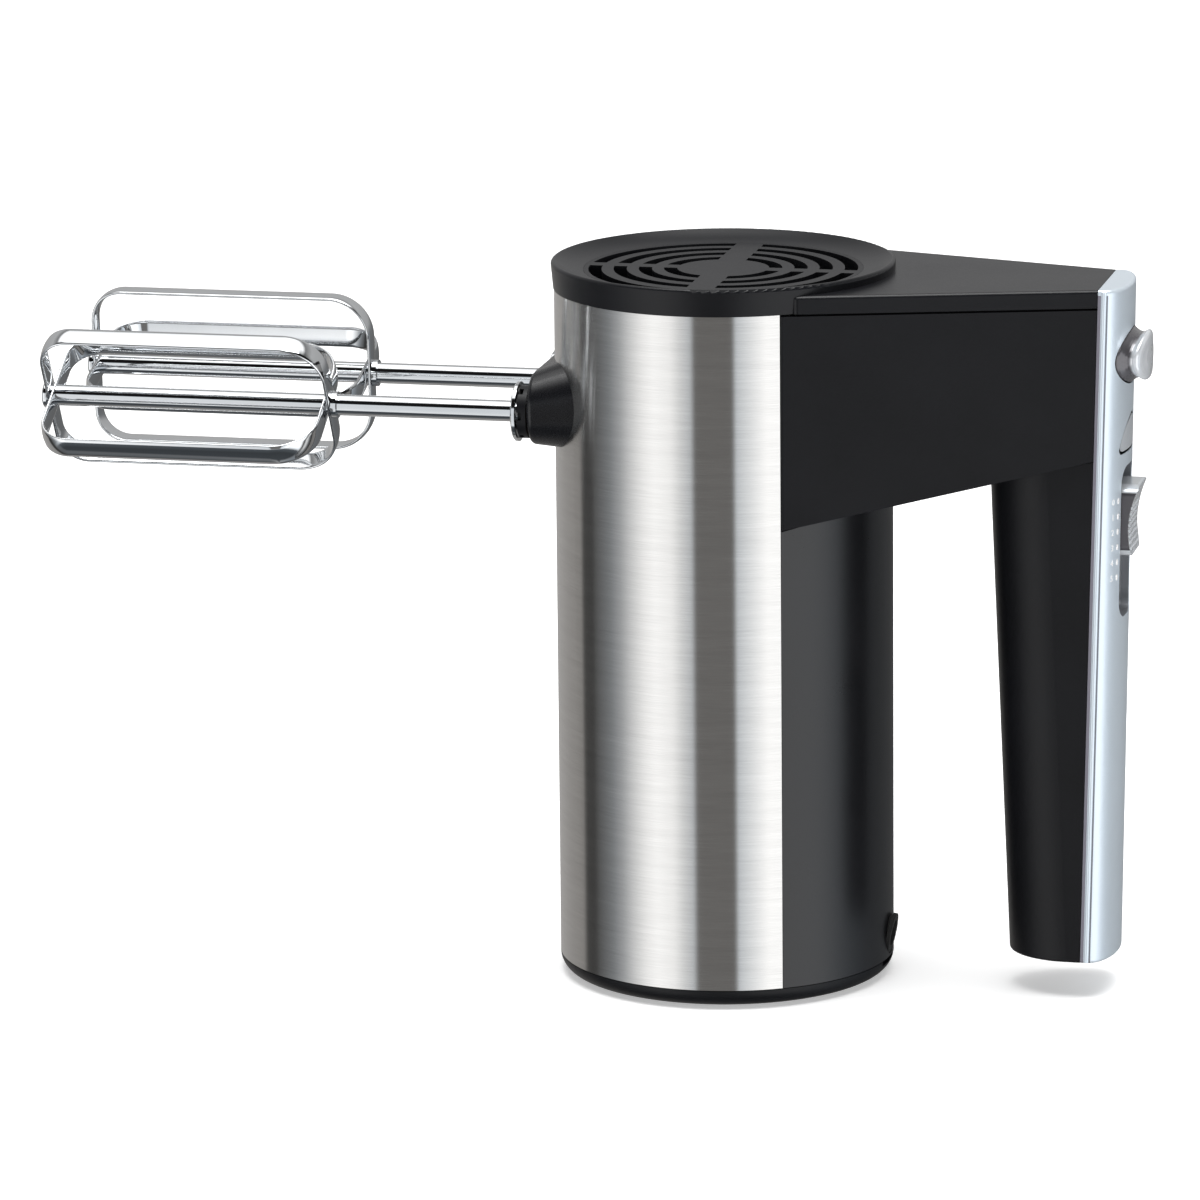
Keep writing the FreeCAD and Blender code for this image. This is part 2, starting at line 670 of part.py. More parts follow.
def turbo_button():
    face = turbo_block(0, 104.5, 116).common(trim_solid(0, GRIP_BOTTOM, TRIM_TOP))
    plunger = rod_x(2.2, 102.2, 105, 0, TURBO_Z)
    return face.fuse(plunger).removeSplitter()


def turbo_switch():
    body = box(93, 100.2, -6, 6, TURBO_Z - 4.5, TURBO_Z + 4.5)
    pin = rod_x(1.2, 100.2, 100.6, 0, TURBO_Z)
    tabs = [box(90.5, 93, s * 4 - 0.4, s * 4 + 0.4, TURBO_Z - 2, TURBO_Z + 2) for s in (-1, 0, 1)]
    return join([body, pin] + tabs)


def thumb_face():
    deep, low, top = [Vector(x, 0, z) for x, z in (FACE_DEEP, FACE_LOW, FACE_TOP)]
    return Part.Arc(top, deep, low).toShape()


def speed_slider():
    """Thumb piece with a hollowed face and cross ribs."""
    low, high = SLIDER_TOP - SLIDER_LENGTH, SLIDER_TOP
    base = RECESS_FLOOR + 0.3
    top_x, top_z = FACE_TOP
    low_x, low_z = FACE_LOW
    tip = Vector(top_x - 0.5, 0, high)
    toe = Vector(low_x - 0.4, 0, low)
    outline = Part.Wire([
        Part.makeLine(Vector(base, 0, low), Vector(base, 0, high)),
        Part.makeLine(Vector(base, 0, high), tip),
        Part.Arc(tip, Vector(top_x + 0.05, 0, high - 0.35), Vector(top_x, 0, top_z)).toShape(),
        thumb_face(),
        Part.Arc(Vector(low_x, 0, low_z), Vector(low_x + 0.02, 0, low + 0.2), toe).toShape(),
        Part.makeLine(toe, Vector(base, 0, low)),
    ])
    thumb = Part.Face(outline).extrude(Vector(0, 2 * SLIDER_HALF, 0))
    thumb.translate(Vector(0, -SLIDER_HALF, 0))
    outside = rounded_block(base - 1, 120, SLIDER_HALF, low, high, SLIDER_CORNER)
    thumb = thumb.common(outside)
    ribs = []
    for step in range(-3, 5):
        z = FACE_DEEP[1] + 1.5 + step * 1.6
        rib = Part.makeCylinder(0.36, 12.4, Vector(slider_face_x(z), -6.2, z), Vector(0, 1, 0))
        ribs.append(rib)
    return join([thumb] + ribs)


def slider_face_x(z):
    """Depth of the hollowed thumb face at height z."""
    level = Part.makeLine(Vector(100, 0, z), Vector(120, 0, z))
    return thumb_face().distToShape(level)[1][0][0].x


def slider_carriage():
    centre = SLIDER_TOP - SLIDER_LENGTH / 2
    neck = box(104.6, RECESS_FLOOR + 0.3, -1.5, 1.5, centre - 5, centre + 5)
    plate = box(102.6, 104.6, -6, 6, centre - 8, centre + 8)
    wiper = box(100.9, 102.6, -1, 1, centre - 3, centre + 3)
    return join([neck, plate, wiper])


def speed_switch():
    body = box(90, 97, -8, 8, 104, 142)
    cover = box(97, 98.6, -9, 9, 102, 144)
    track = box(98.6, 100.4, -8, -4, 104, 142)
    track_two = box(98.6, 100.4, 4, 8, 104, 142)
    tabs = [box(87.4, 90, s * 5 - 0.5, s * 5 + 0.5, z - 3, z + 3) for s in (-1, 1) for z in (112, 134)]
    return join([body, cover, track, track_two] + tabs)


def control_board():
    """Board with a capacitor, a triac and a coil, as separate solids."""
    return [
        box(86.2, 87.2, -10, 10, 44, 78),
        rod_x(3.4, 87.2, 97, 5, 52),
        box(87.2, 92.5, -8, -1, 47, 58),
        box(87.2, 90.2, -7, 7, 64, 74),
    ]


# ---- beater boss and spindles ----
def boss_wire(x, y, z, radius):
    """Two half circles joined by straight lines, round both spindles."""
    bottom = Part.makeLine(Vector(x, -y, z - radius), Vector(x, y, z - radius))
    right = Part.Arc(
        Vector(x, y, z - radius), Vector(x, y + radius, z), Vector(x, y, z + radius)
    ).toShape()
    top = Part.makeLine(Vector(x, y, z + radius), Vector(x, -y, z + radius))
    left = Part.Arc(
        Vector(x, -y, z + radius), Vector(x, -y - radius, z), Vector(x, -y, z - radius)
    ).toShape()
    return Part.Wire([bottom, right, top, left])


def beater_boss():
    front = BOSS_FRONT[0]
    block = Part.makeLoft([boss_wire(*BOSS_FRONT), boss_wire(*BOSS_ROOT)], True, True)
    block = rounded(block, 1.4, lambda e: e.BoundBox.XMax < front + 0.1)
    block = block.cut(rod_z(BODY_R, 100, 200))
    return block.cut(spindle_holes(BUSH_R, -70, 0)).cut(spindle_holes(7.6, -50, front + 1.2))


def spindle_bushes():
    bushes = []
    for s in SIDES.values():
        y = s * BEATER_Y
        bushes.append(tube_x(BUSH_R, SPINDLE_R + RUNNING, -47.1, -36.5, y, BEATER_Z))
        bushes.append(tube_x(BUSH_R, SPINDLE_R + RUNNING, -16.5, -8.5, y, BEATER_Z))
    return bushes


def spindle(side):
    y = side * BEATER_Y
    body = rod_x(SPINDLE_R, SPINDLE_FRONT, SPINDLE_BACK, y, BEATER_Z)
    shoulder = rod_x(6.2, -35.8, -34.4, y, BEATER_Z)
    body = body.fuse(shoulder).removeSplitter()
    bore = rod_x(SHAFT_R + RUNNING, -60, SHAFT_END + 0.5, y, BEATER_Z)
    pin_bore = rod_x(1.8 + RUNNING, -30, 20, y, BEATER_Z)
    slot = box(-60, -17.5, y - 1.3, y + 1.3, BEATER_Z - LUG_R - 0.4, BEATER_Z + LUG_R + 0.4)
    groove = tube_x(6, 4.5, -28.6, -27.2, y, BEATER_Z)
    return body.cut(Part.makeCompound([bore, pin_bore, slot, groove]))


def drive_ring(side):
    """Black notched ring on the end of the spindle, in front of the boss."""
    y = side * BEATER_Y
    ring = tube_x(7.2, SPINDLE_R, SPINDLE_FRONT, BOSS_FRONT[0] - 0.3, y, BEATER_Z)
    notches = []
    for step in range(6):
        notch = box(SPINDLE_FRONT - 1, SPINDLE_FRONT + 1.3, y + 5.6, y + 9, BEATER_Z - 1.1, BEATER_Z + 1.1)
        notches.append(spun(notch, 60 * step, Vector(0, y, BEATER_Z), X_AXIS))
    return ring.cut(Part.makeCompound(notches))


def retaining_clip(side):
    """C-shaped wire clip in the spindle groove, which holds the beater's shaft."""
    ring = Part.makeTorus(4.95, 0.42)
    ring = ring.cut(box(0, 8, -1.6, 1.6, -2, 2))
    ring.Placement = Placement(Vector(-27.9, side * BEATER_Y, BEATER_Z), Rotation(Z_AXIS, X_AXIS))
    return ring


def ejector_pin(side):
    y = side * BEATER_Y
    pin = rod_x(1.8, SHAFT_END + 0.1, 12, y, BEATER_Z)
    head = rod_x(3.2, 11.6, 13.0, y, BEATER_Z)
    return pin.fuse(head).removeSplitter()


# ---- worm drive ----
def wheel_wire(x, turn):
    step = 2 * math.pi / WHEEL_TEETH
    levels = [(16.7, -1.0), (19.0, -0.45), (19.0, 0.45), (16.7, 1.0)]
    points = []
    for tooth in range(WHEEL_TEETH):
        centre = (tooth + 0.5) * step + turn
        for radius, half in levels:
            angle = centre + half / radius
            points.append(Vector(x, radius * math.cos(angle), radius * math.sin(angle)))
    return polygon(points)


def worm_wheel(side):
    """Helical wheel; both wheels mesh with the one worm between them."""
    twist = WORM_LEAD / (2 * math.pi * WORM_PITCH_R) / WHEEL_PITCH_R
    stations = [WHEEL_HALF * step / 2 for step in range(-2, 3)]
    wires = [wheel_wire(x, twist * x) for x in stations]
    wheel = Part.makeLoft(wires, True, True)
    wheel = wheel.cut(rod_x(SPINDLE_R, -10, 10))
    faces = [tube_x(14, 8, x, x + 2.2) for x in (-WHEEL_HALF - 0.2, WHEEL_HALF - 2.0)]
    wheel = wheel.cut(Part.makeCompound(faces))
    return moved(wheel, 0, side * BEATER_Y, BEATER_Z)


def worm_wire(z, turn):
    """Cross-section of the worm: a round core with one lobe for each thread."""
    radians_per_mm = 2 * math.pi / WORM_LEAD
    corners = [(-1.15, 3.2), (-0.45, 5.4), (0.45, 5.4), (1.15, 3.2)]
    points = []
    for start in range(WORM_STARTS):
        centre = turn + start * 2 * math.pi / WORM_STARTS
        for height, radius in corners:
            angle = centre + height * radians_per_mm
            points.append(Vector(radius * math.cos(angle), radius * math.sin(angle), z))
    return polygon(points)


def worm():
    """Two-start worm, turned so that a thread meets each wheel at mid height."""
    length = 24.0
    steps_per_turn = 24
    count = round(length / WORM_LEAD * steps_per_turn)
    wires = []
    for step in range(count + 1):
        rise = length * (step / count - 0.5)
        turn = math.pi / 2 + 2 * math.pi * rise / WORM_LEAD
        wires.append(worm_wire(BEATER_Z + rise, turn))
    thread = Part.makeLoft(wires, True, True)
    return thread.cut(rod_z(2.5, BEATER_Z - length, BEATER_Z + length))


def armature_shaft():
    lower = rod_z(MOTOR_SHAFT_R, SHAFT_BOTTOM, 142)
    neck = rod_z(2.5, 142, MOTOR_SHAFT_TOP)
    return lower.fuse(neck).removeSplitter()


# ---- motor ----
def stator_core():
    outer = rod_z(40.5, CORE_BOTTOM, CORE_TOP)
    outer = outer.common(box(-31, 31, -36, 36, 0, 200))
    cuts = [rod_z(CORE_R + AIR_GAP, 0, 200)]
    for sx in (-1, 1):
        for sy in (-1, 1):
            x0, x1 = sorted((sx * 13, sx * 24))
            y0, y1 = sorted((sy * 11.5, sy * 25))
            cuts.append(box(x0, x1, y0, y1, 0, 200))
            cuts.append(rod_z(2.0, 0, 200, sx * SCREW_X, sy * SCREW_Y))
    return outer.cut(Part.makeCompound(cuts))


def field_coils():
    coils = []
    for sy in (-1, 1):
        y0, y1 = sorted((sy * 12, sy * 24.5))
        low, high = CORE_BOTTOM - 8.6, CORE_TOP + 8.6
        ring = box(-23.5, 23.5, y0, y1, low, high)
        ring = rounded(ring, 7, lambda e: e.BoundBox.YLength > 10)
        ring = ring.cut(box(-13.3, 13.3, y0 - 1, y1 + 1, CORE_BOTTOM - 0.4, CORE_TOP + 0.4))
        coils.append(ring.cut(rod_z(CORE_R + AIR_GAP + 0.1, 0, 200)))
    return coils


def armature_core():
    core = tube_z(CORE_R, MOTOR_SHAFT_R, CORE_BOTTOM, CORE_TOP)
    cuts = []
    for step in range(12):
        slot = box(14, 25, -0.8, 0.8, 0, 200)
        channel = rod_z(2.3, 0, 200, 14.6, 0)
        cuts.append(spun(slot.fuse(channel), 30 * step, Vector(0, 0, 0), Z_AXIS))
    return core.cut(Part.makeCompound(cuts))


def armature_winding():
    ends = []
    for z0, z1 in ((CORE_BOTTOM - 7.5, CORE_BOTTOM), (CORE_TOP, CORE_TOP + 7.5)):
        ring = tube_z(16.2, 4.6, z0, z1)
        ends.append(rounded(ring, 2.2, lambda e: e.BoundBox.XLength > 30 and e.BoundBox.ZLength < 0.1))
    return ends


def commutator():
    drum = tube_z(11, MOTOR_SHAFT_R, 41.5, 53.5)
    cuts = []
    for step in range(24):
        slit = box(9.9, 13, -0.3, 0.3, 43, 60)
        cuts.append(spun(slit, 15 * step, Vector(0, 0, 0), Z_AXIS))
    return drum.cut(Part.makeCompound(cuts))


def carbon_brushes():
    return [box(min(s * 11.2, s * 22), max(s * 11.2, s * 22), -2.8, 2.8, 45, 50) for s in (-1, 1)]


def brush_holders():
    holders = []
    for s in (-1, 1):
        outer = box(min(s * 13, s * 33), max(s * 13, s * 33), -4.2, 4.2, 43, 52)
        inner = box(min(s * 12, s * 31), max(s * 12, s * 31), -3.0, 3.0, 44.8, 50.2)
        holders.append(outer.cut(inner))
    return holders


def lower_bracket():
    top = BRACKET_Z + 6
    bar = box(-42, 42, -12, 12, BRACKET_Z, top)
    crossbar = box(-8, 8, -42, 42, BRACKET_Z, top)
    bar = bar.fuse(crossbar).common(rod_z(CAVITY_R - 0.1, 0, 60))
    hub = rod_z(9.5, 23.5, 36)
    posts = [box(s * 28.5 - 4.5, s * 28.5 + 4.5, -4.2, 4.2, 34, 43) for s in (-1, 1)]
    frame = join([bar, hub] + posts)
    cuts = [rod_z(6, 0, 60)]
    cuts.extend(rod_z(1.5, 20, BRACKET_Z + 4, x, y) for x, y in BASE_SCREWS)
    for sx in (-1, 1):
        for sy in (-1, 1):
            cuts.append(rod_z(2.0, 0, 60, sx * SCREW_X, sy * SCREW_Y))
    return frame.cut(Part.makeCompound(cuts))


def motor_bushes():
    return [
        tube_z(6, MOTOR_SHAFT_R + RUNNING, 24, 33),
        tube_z(6, MOTOR_SHAFT_R + RUNNING, 127, 135),
        tube_z(6, 2.5 + RUNNING, 182.5, 187),
    ]


def gear_frame():
    """Casting that carries the worm shaft and the inner spindle bushes."""
    floor = rod_z(CAVITY_R - 0.1, 128, 131.5)
    hub = rod_z(9, 126.5, 136)
    wall = box(-15.5, -9.5, -33, 33, 131, 188)
    bridge = box(-15.5, 8, -8, 8, 182.5, 187)
    shell = rod_z(CAVITY_R - 0.1, 100, 200)
    frame = join([floor, hub, wall.common(shell), bridge])
    cuts = [rod_z(6, 120, 200), spindle_holes(BUSH_R, -30, 0)]
    cuts.append(box(-30, 0, -14, 14, 140, 178))
    for sx in (-1, 1):
        for sy in (-1, 1):
            cuts.append(rod_z(2.0, 120, 140, sx * SCREW_X, sy * SCREW_Y))
    for step in range(8):
        vent = rod_z(4.2, 120, 132, 35, 0)
        cuts.append(spun(vent, 22.5 + 45 * step, Vector(0, 0, 0), Z_AXIS))
    return frame.cut(Part.makeCompound(cuts))


def motor_screws():
    screws = []
    for sx in (-1, 1):
        for sy in (-1, 1):
            x, y = sx * SCREW_X, sy * SCREW_Y
            shank = rod_z(1.9, 28, 133, x, y)
            head = rod_z(3.3, 25.4, 28, x, y)
            nut = rod_z(3.3, 131.5, 133.6, x, y)
            screws.append(join([shank, head, nut]))
    return screws


def cooling_fan():
    hub = rod_z(7, 112, 123)
    disc = rod_z(24.5, 112, 113.4)
    blades = []
    for step in range(9):
        blade = box(6, 24, -0.6, 0.6, 113, 122.5)
        blade.rotate(Vector(6, 0, 0), Z_AXIS, 24)
        blades.append(spun(blade, 40 * step, Vector(0, 0, 0), Z_AXIS))
    fan = join([hub, disc] + blades).common(rod_z(24.5, 100, 130))
    return fan.cut(rod_z(MOTOR_SHAFT_R, 100, 130))


def terminal_block():
    body = box(20.5, 34, -9, 9, 4, 15)
    wells = []
    for y in (-5, 0, 5):
        wells.append(rod_z(1.7, 10, 20, 24, y))
        wells.append(rod_x(1.3, 28, 40, y, 9.5))
    return body.cut(Part.makeCompound(wells))


# ---- beaters ----
def loop_face(x_tip, x_root, half, tip_r, root_r):
    """Rounded rectangle in the plane of the shaft, as a face at y = 0."""
    cut = 1 - math.sqrt(0.5)
    points = {
        "a": Vector(x_tip + tip_r, 0, -half),
        "b": Vector(x_root - root_r, 0, -half),
        "c": Vector(x_root, 0, -half + root_r),
        "d": Vector(x_root, 0, half - root_r),
        "e": Vector(x_root - root_r, 0, half),
        "f": Vector(x_tip + tip_r, 0, half),
        "g": Vector(x_tip, 0, half - tip_r),
        "h": Vector(x_tip, 0, -half + tip_r),
    }
    root_in, tip_in = root_r * cut, tip_r * cut
    wire = Part.Wire([
        Part.makeLine(points["a"], points["b"]),
        Part.Arc(points["b"], Vector(x_root - root_in, 0, -half + root_in), points["c"]).toShape(),
        Part.makeLine(points["c"], points["d"]),
        Part.Arc(points["d"], Vector(x_root - root_in, 0, half - root_in), points["e"]).toShape(),
        Part.makeLine(points["e"], points["f"]),
        Part.Arc(points["f"], Vector(x_tip + tip_in, 0, half - tip_in), points["g"]).toShape(),
        Part.makeLine(points["g"], points["h"]),
        Part.Arc(points["h"], Vector(x_tip + tip_in, 0, -half + tip_in), points["a"]).toShape(),
    ])
    return Part.Face(wire)


def beater_loop(side, phase, nest):
    """Flat strip bent into a closed loop; nest is how far it sits inside its twin."""
    x_tip, x_root = LOOP_TIP + nest, LOOP_ROOT - nest
    outer = loop_face(x_tip, x_root, LOOP_R, LOOP_TIP_CORNER, LOOP_ROOT_CORNER)
    inner = loop_face(
        x_tip + LOOP_STRIP, x_root - LOOP_STRIP, LOOP_R - LOOP_STRIP,
        LOOP_TIP_CORNER - LOOP_STRIP, LOOP_ROOT_CORNER - LOOP_STRIP,
    )
    strip = outer.cut(inner).extrude(Vector(0, LOOP_WIDTH, 0))
    strip.translate(Vector(0, -LOOP_WIDTH / 2, 0))
    strip = strip.cut(rod_x(SHAFT_R, -200, -90))
    strip.rotate(Vector(0, 0, 0), X_AXIS, phase)
    return moved(strip, 0, side * BEATER_Y, BEATER_Z)


def beater_shaft(side):
    y = side * BEATER_Y
    shaft = rod_x(SHAFT_R, LOOP_TIP - 0.2, SHAFT_END, y, BEATER_Z)
    rivet = rod_x(3.7, LOOP_TIP - 1.3, LOOP_TIP, y, BEATER_Z)
    rivet = rounded(rivet, 0.7, lambda e: e.BoundBox.XMax < LOOP_TIP - 1.2)
    shoulder = rod_x(3.7, LOOP_ROOT, LOOP_ROOT + 1.4, y, BEATER_Z)
    lug = box(-24, -20, y - 1.0, y + 1.0, BEATER_Z - LUG_R, BEATER_Z + LUG_R)
    groove = tube_x(4, 2.5, -28.7, -27.1, y, BEATER_Z)
    whole = join([shaft, rivet, shoulder, lug])
    whole = whole.cut(groove)
    return whole.makeChamfer(0.7, [e for e in whole.Edges if e.BoundBox.XMin > SHAFT_END - 0.1])


def beater_collar(side):
    """Dished disc that closes the gap in front of the drive ring."""
    profile = [
        (SHAFT_R, 0.0), (4.6, 0.0), (COLLAR_R - 0.5, 0.5), (COLLAR_R, 0.9),
        (COLLAR_R, 1.7), (COLLAR_R - 0.9, 1.7), (5.4, 1.1), (SHAFT_R, 1.1),
    ]
    return turned(profile, Vector(COLLAR_X, side * BEATER_Y, BEATER_Z), X_AXIS)


# ---- write every node ----
def write_casing():
    left_arm, right_arm = arm_halves()
    save("base_pad", [base_pad()])
    save("base_cap", [base_cap()])
    save("base_screws", base_screws())
    save("steel_sleeve", [steel_sleeve()])
    save("front_liner", [front_liner()])
    save("rear_shell", [rear_shell()])
    save("cord_inlet", [cord_inlet()])
    save("top_cover", [top_cover()])
    save("vent_grille", [vent_grille()])
    save("arm_shell_left", [left_arm])
    save("arm_shell_right", [right_arm])
    save("grip_shell", [grip_shell()])
    save("grip_screws", grip_screws())
    save("handle_trim", [handle_trim()])
    save("beater_boss", [beater_boss()])


def write_controls():
    save("eject_button", [eject_button()])
    save("eject_rod", [eject_rod()])
    save("eject_fork", [eject_fork()])
    save("eject_spring", [eject_spring()])
    save("rod_guide", [rod_guide()])
    save("turbo_button", [turbo_button()])
    save("turbo_switch", [turbo_switch()])
    save("speed_slider", [speed_slider()])
    save("slider_carriage", [slider_carriage()])
    save("speed_switch", [speed_switch()])
    save("control_board", control_board())
    save("terminal_block", [terminal_block()])


def write_drive():
    save("gear_frame", [gear_frame()])
    save("spindle_bushes", spindle_bushes())
    save("motor_bushes", motor_bushes())
    save("lower_bracket", [lower_bracket()])
    save("stator_core", [stator_core()])
    save("field_coils", field_coils())
    save("motor_screws", motor_screws())
    save("brush_holders", brush_holders())
    save("carbon_brushes", carbon_brushes())
    save("armature_shaft", [armature_shaft()])
    save("armature_core", [armature_core()])
    save("armature_winding", armature_winding())
    save("commutator", [commutator()])
    save("cooling_fan", [cooling_fan()])
    save("worm", [worm()])


def write_side(name, side):
    first, second = LOOP_ANGLES[name]
    save(name + "_spindle", [spindle(side)])
    save(name + "_drive_ring", [drive_ring(side)])
    save(name + "_retaining_clip", [retaining_clip(side)])
    save(name + "_worm_wheel", [worm_wheel(side)])
    save(name + "_ejector_pin", [ejector_pin(side)])
    save(name + "_beater_shaft", [beater_shaft(side)])
    save(name + "_beater_collar", [beater_collar(side)])
    save(name + "_outer_loop", [beater_loop(side, first, 0)])
    save(name + "_inner_loop", [beater_loop(side, second, LOOP_STRIP + 0.05)])


write_casing()
write_controls()
write_drive()
for side_name, side_sign in SIDES.items():
    write_side(side_name, side_sign)
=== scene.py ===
import json
import math

import bpy
from mathutils import Matrix, Vector


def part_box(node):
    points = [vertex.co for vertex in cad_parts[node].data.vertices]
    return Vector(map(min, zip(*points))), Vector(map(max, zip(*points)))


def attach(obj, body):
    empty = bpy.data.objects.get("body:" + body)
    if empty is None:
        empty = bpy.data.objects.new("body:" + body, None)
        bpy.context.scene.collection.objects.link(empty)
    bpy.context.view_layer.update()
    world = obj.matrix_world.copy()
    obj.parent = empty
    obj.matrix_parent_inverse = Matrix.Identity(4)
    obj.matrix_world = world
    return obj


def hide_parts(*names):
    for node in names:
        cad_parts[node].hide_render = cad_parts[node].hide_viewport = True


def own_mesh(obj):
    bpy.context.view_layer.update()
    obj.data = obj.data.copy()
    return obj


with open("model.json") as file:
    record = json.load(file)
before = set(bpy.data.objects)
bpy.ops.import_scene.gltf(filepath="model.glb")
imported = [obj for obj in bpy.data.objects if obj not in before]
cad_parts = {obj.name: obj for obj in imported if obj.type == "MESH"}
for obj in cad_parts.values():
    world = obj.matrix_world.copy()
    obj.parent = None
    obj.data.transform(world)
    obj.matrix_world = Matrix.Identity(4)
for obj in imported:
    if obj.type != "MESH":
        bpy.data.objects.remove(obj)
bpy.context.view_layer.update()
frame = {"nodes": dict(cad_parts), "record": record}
NODES = frame["nodes"]

MM = 0.001

# ---- silver trim, in millimetres ----
TRIM_JOINT = (100.94, 0.02204)       # x of its joint with the grip at z = 0, and lean
TRIM_FLANK = 1.8
TRIM_BACK = (109.45, 0.016)
TRIM_HALF = 16.1
TRIM_TOP = 194.6
TRIM_SHADE_LINES = [                       # painted shade lines along the joint: from, to, colour
    (-1.0, 0.85, (0.25, 0.24, 0.285)),
    (2.30, 2.72, (0.17, 0.18, 0.21)),
]
TRIM_ENDS = (14.0, 193.0)            # between them the holes show bare plastic with painted shade below the paint, and the recess shows silver darkened as painted shade
PAINT_DEPTH = 0.25
HOLE_REACH = 0.84                    # share of the half width that the holes stay within
# Bare plastic inside the holes, darkened further as painted shade.
HOLE_PLASTIC_AND_SHADE = (0.025, 0.025, 0.028)
# Painted shade: the recess floor's silver, darkened.
RECESS_SHADE = (0.27, 0.28, 0.30)
RECESS_ZONE = (102.0, 148.0)

# Painted shade: dark grey on the slider's sides and the eject button's waist.
PAINTED_SHADE = (0.10, 0.096, 0.105)
SLIDER_FLANK = 8.0                   # half width beyond which shade is painted on the slider's sides
WAIST_FADE = (114.6, 115.6)          # x over which the painted shade on the button's waist fades into its head
WAIST_ARCH = 0.014                   # the edge of the waist's painted shade follows the arched trim
BLACK = (0.0055, 0.0057, 0.0073)
WAVES_PER_METRE = 3.2                # ridges of the wave texture at a scale of 1
CREASE = math.radians(28)            # faces that meet more sharply than this keep their edge

# ---- speed scale, in millimetres ----
SCALE_TOP = 137.7
SCALE_PITCH = 4.19
SCALE_STEPS = 6
MARK_Y = -10.7
MARK_SIZE = (1.15, 1.6)
DIGIT_Y = -13.1
DIGIT_HEIGHT = 1.7
DIGIT_SHARE = 0.7                    # height of a digit over the font's size
INK = 0.06                           # thickness of the printed ink

# ---- beater loops, in millimetres and degrees ----
SPINDLE_Y = 22.5
SPINDLE_Z = 159.0
LOOP_TIP = -184.4
LOOP_ROOT = -103.9
LOOP_R = 22.0
LOOP_CORNERS = (9.0, 12.0)           # at the tip and at the root
LOOP_WIDTH = 6.5
LOOP_STRIP = 1.2
LOOP_CROWN = (0.38, 0.2)             # how far the outer and inner faces bulge
LOOP_NEST = 1.25
LOOP_ANGLES = {"left": (30, 120), "right": (4, 106)}
CORNER_STEPS = 14
STRIP_EDGE = 0.28                    # radius of the strip's rounded edges
FACE_STEPS = 8
EDGE_TURNS = (45, 0, -45)            # points round each rounded edge

# ---- ejector spring, in millimetres ----
SPRING_ENDS = (46.8, 63.4)           # centres of its first and last wire
SPRING_R = 3.7
SPRING_WIRE = 0.4
SPRING_TURNS = 8
SPRING_STEPS = 28                    # along each turn
SPRING_RING = 10                     # round the wire

# ---- camera and studio ----
CAMERA_AZIMUTH = math.radians(12.733)
CAMERA_PITCH = math.radians(12.931)
CAMERA_ROLL = -0.00983
CAMERA_PLACE = Vector((0.42657, -2.04334, 0.58312))
CAMERA_LENS = 234.71
FLOOR_SIZE = 14.0


def make_camera():
    """Camera at the studio viewpoint: right, up and back axes from azimuth, pitch and roll."""
    a, e = CAMERA_AZIMUTH, CAMERA_PITCH
    forward = Vector((-math.sin(a) * math.cos(e), math.cos(a) * math.cos(e), -math.sin(e)))
    level = Vector((math.cos(a), math.sin(a), 0))
    upright = level.cross(forward)
    c, s = math.cos(CAMERA_ROLL), math.sin(CAMERA_ROLL)
    right = level * c + upright * s
    up = upright * c - level * s
    data = bpy.data.cameras.new("camera")
    data.sensor_width = 36
    data.lens = CAMERA_LENS
    data.clip_start = 0.05
    data.clip_end = 50
    camera = bpy.data.objects.new("camera", data)
    bpy.context.scene.collection.objects.link(camera)
    axes = Matrix((right, up, -forward)).transposed()
    camera.matrix_world = Matrix.Translation(CAMERA_PLACE) @ axes.to_4x4()
    bpy.context.scene.camera = camera


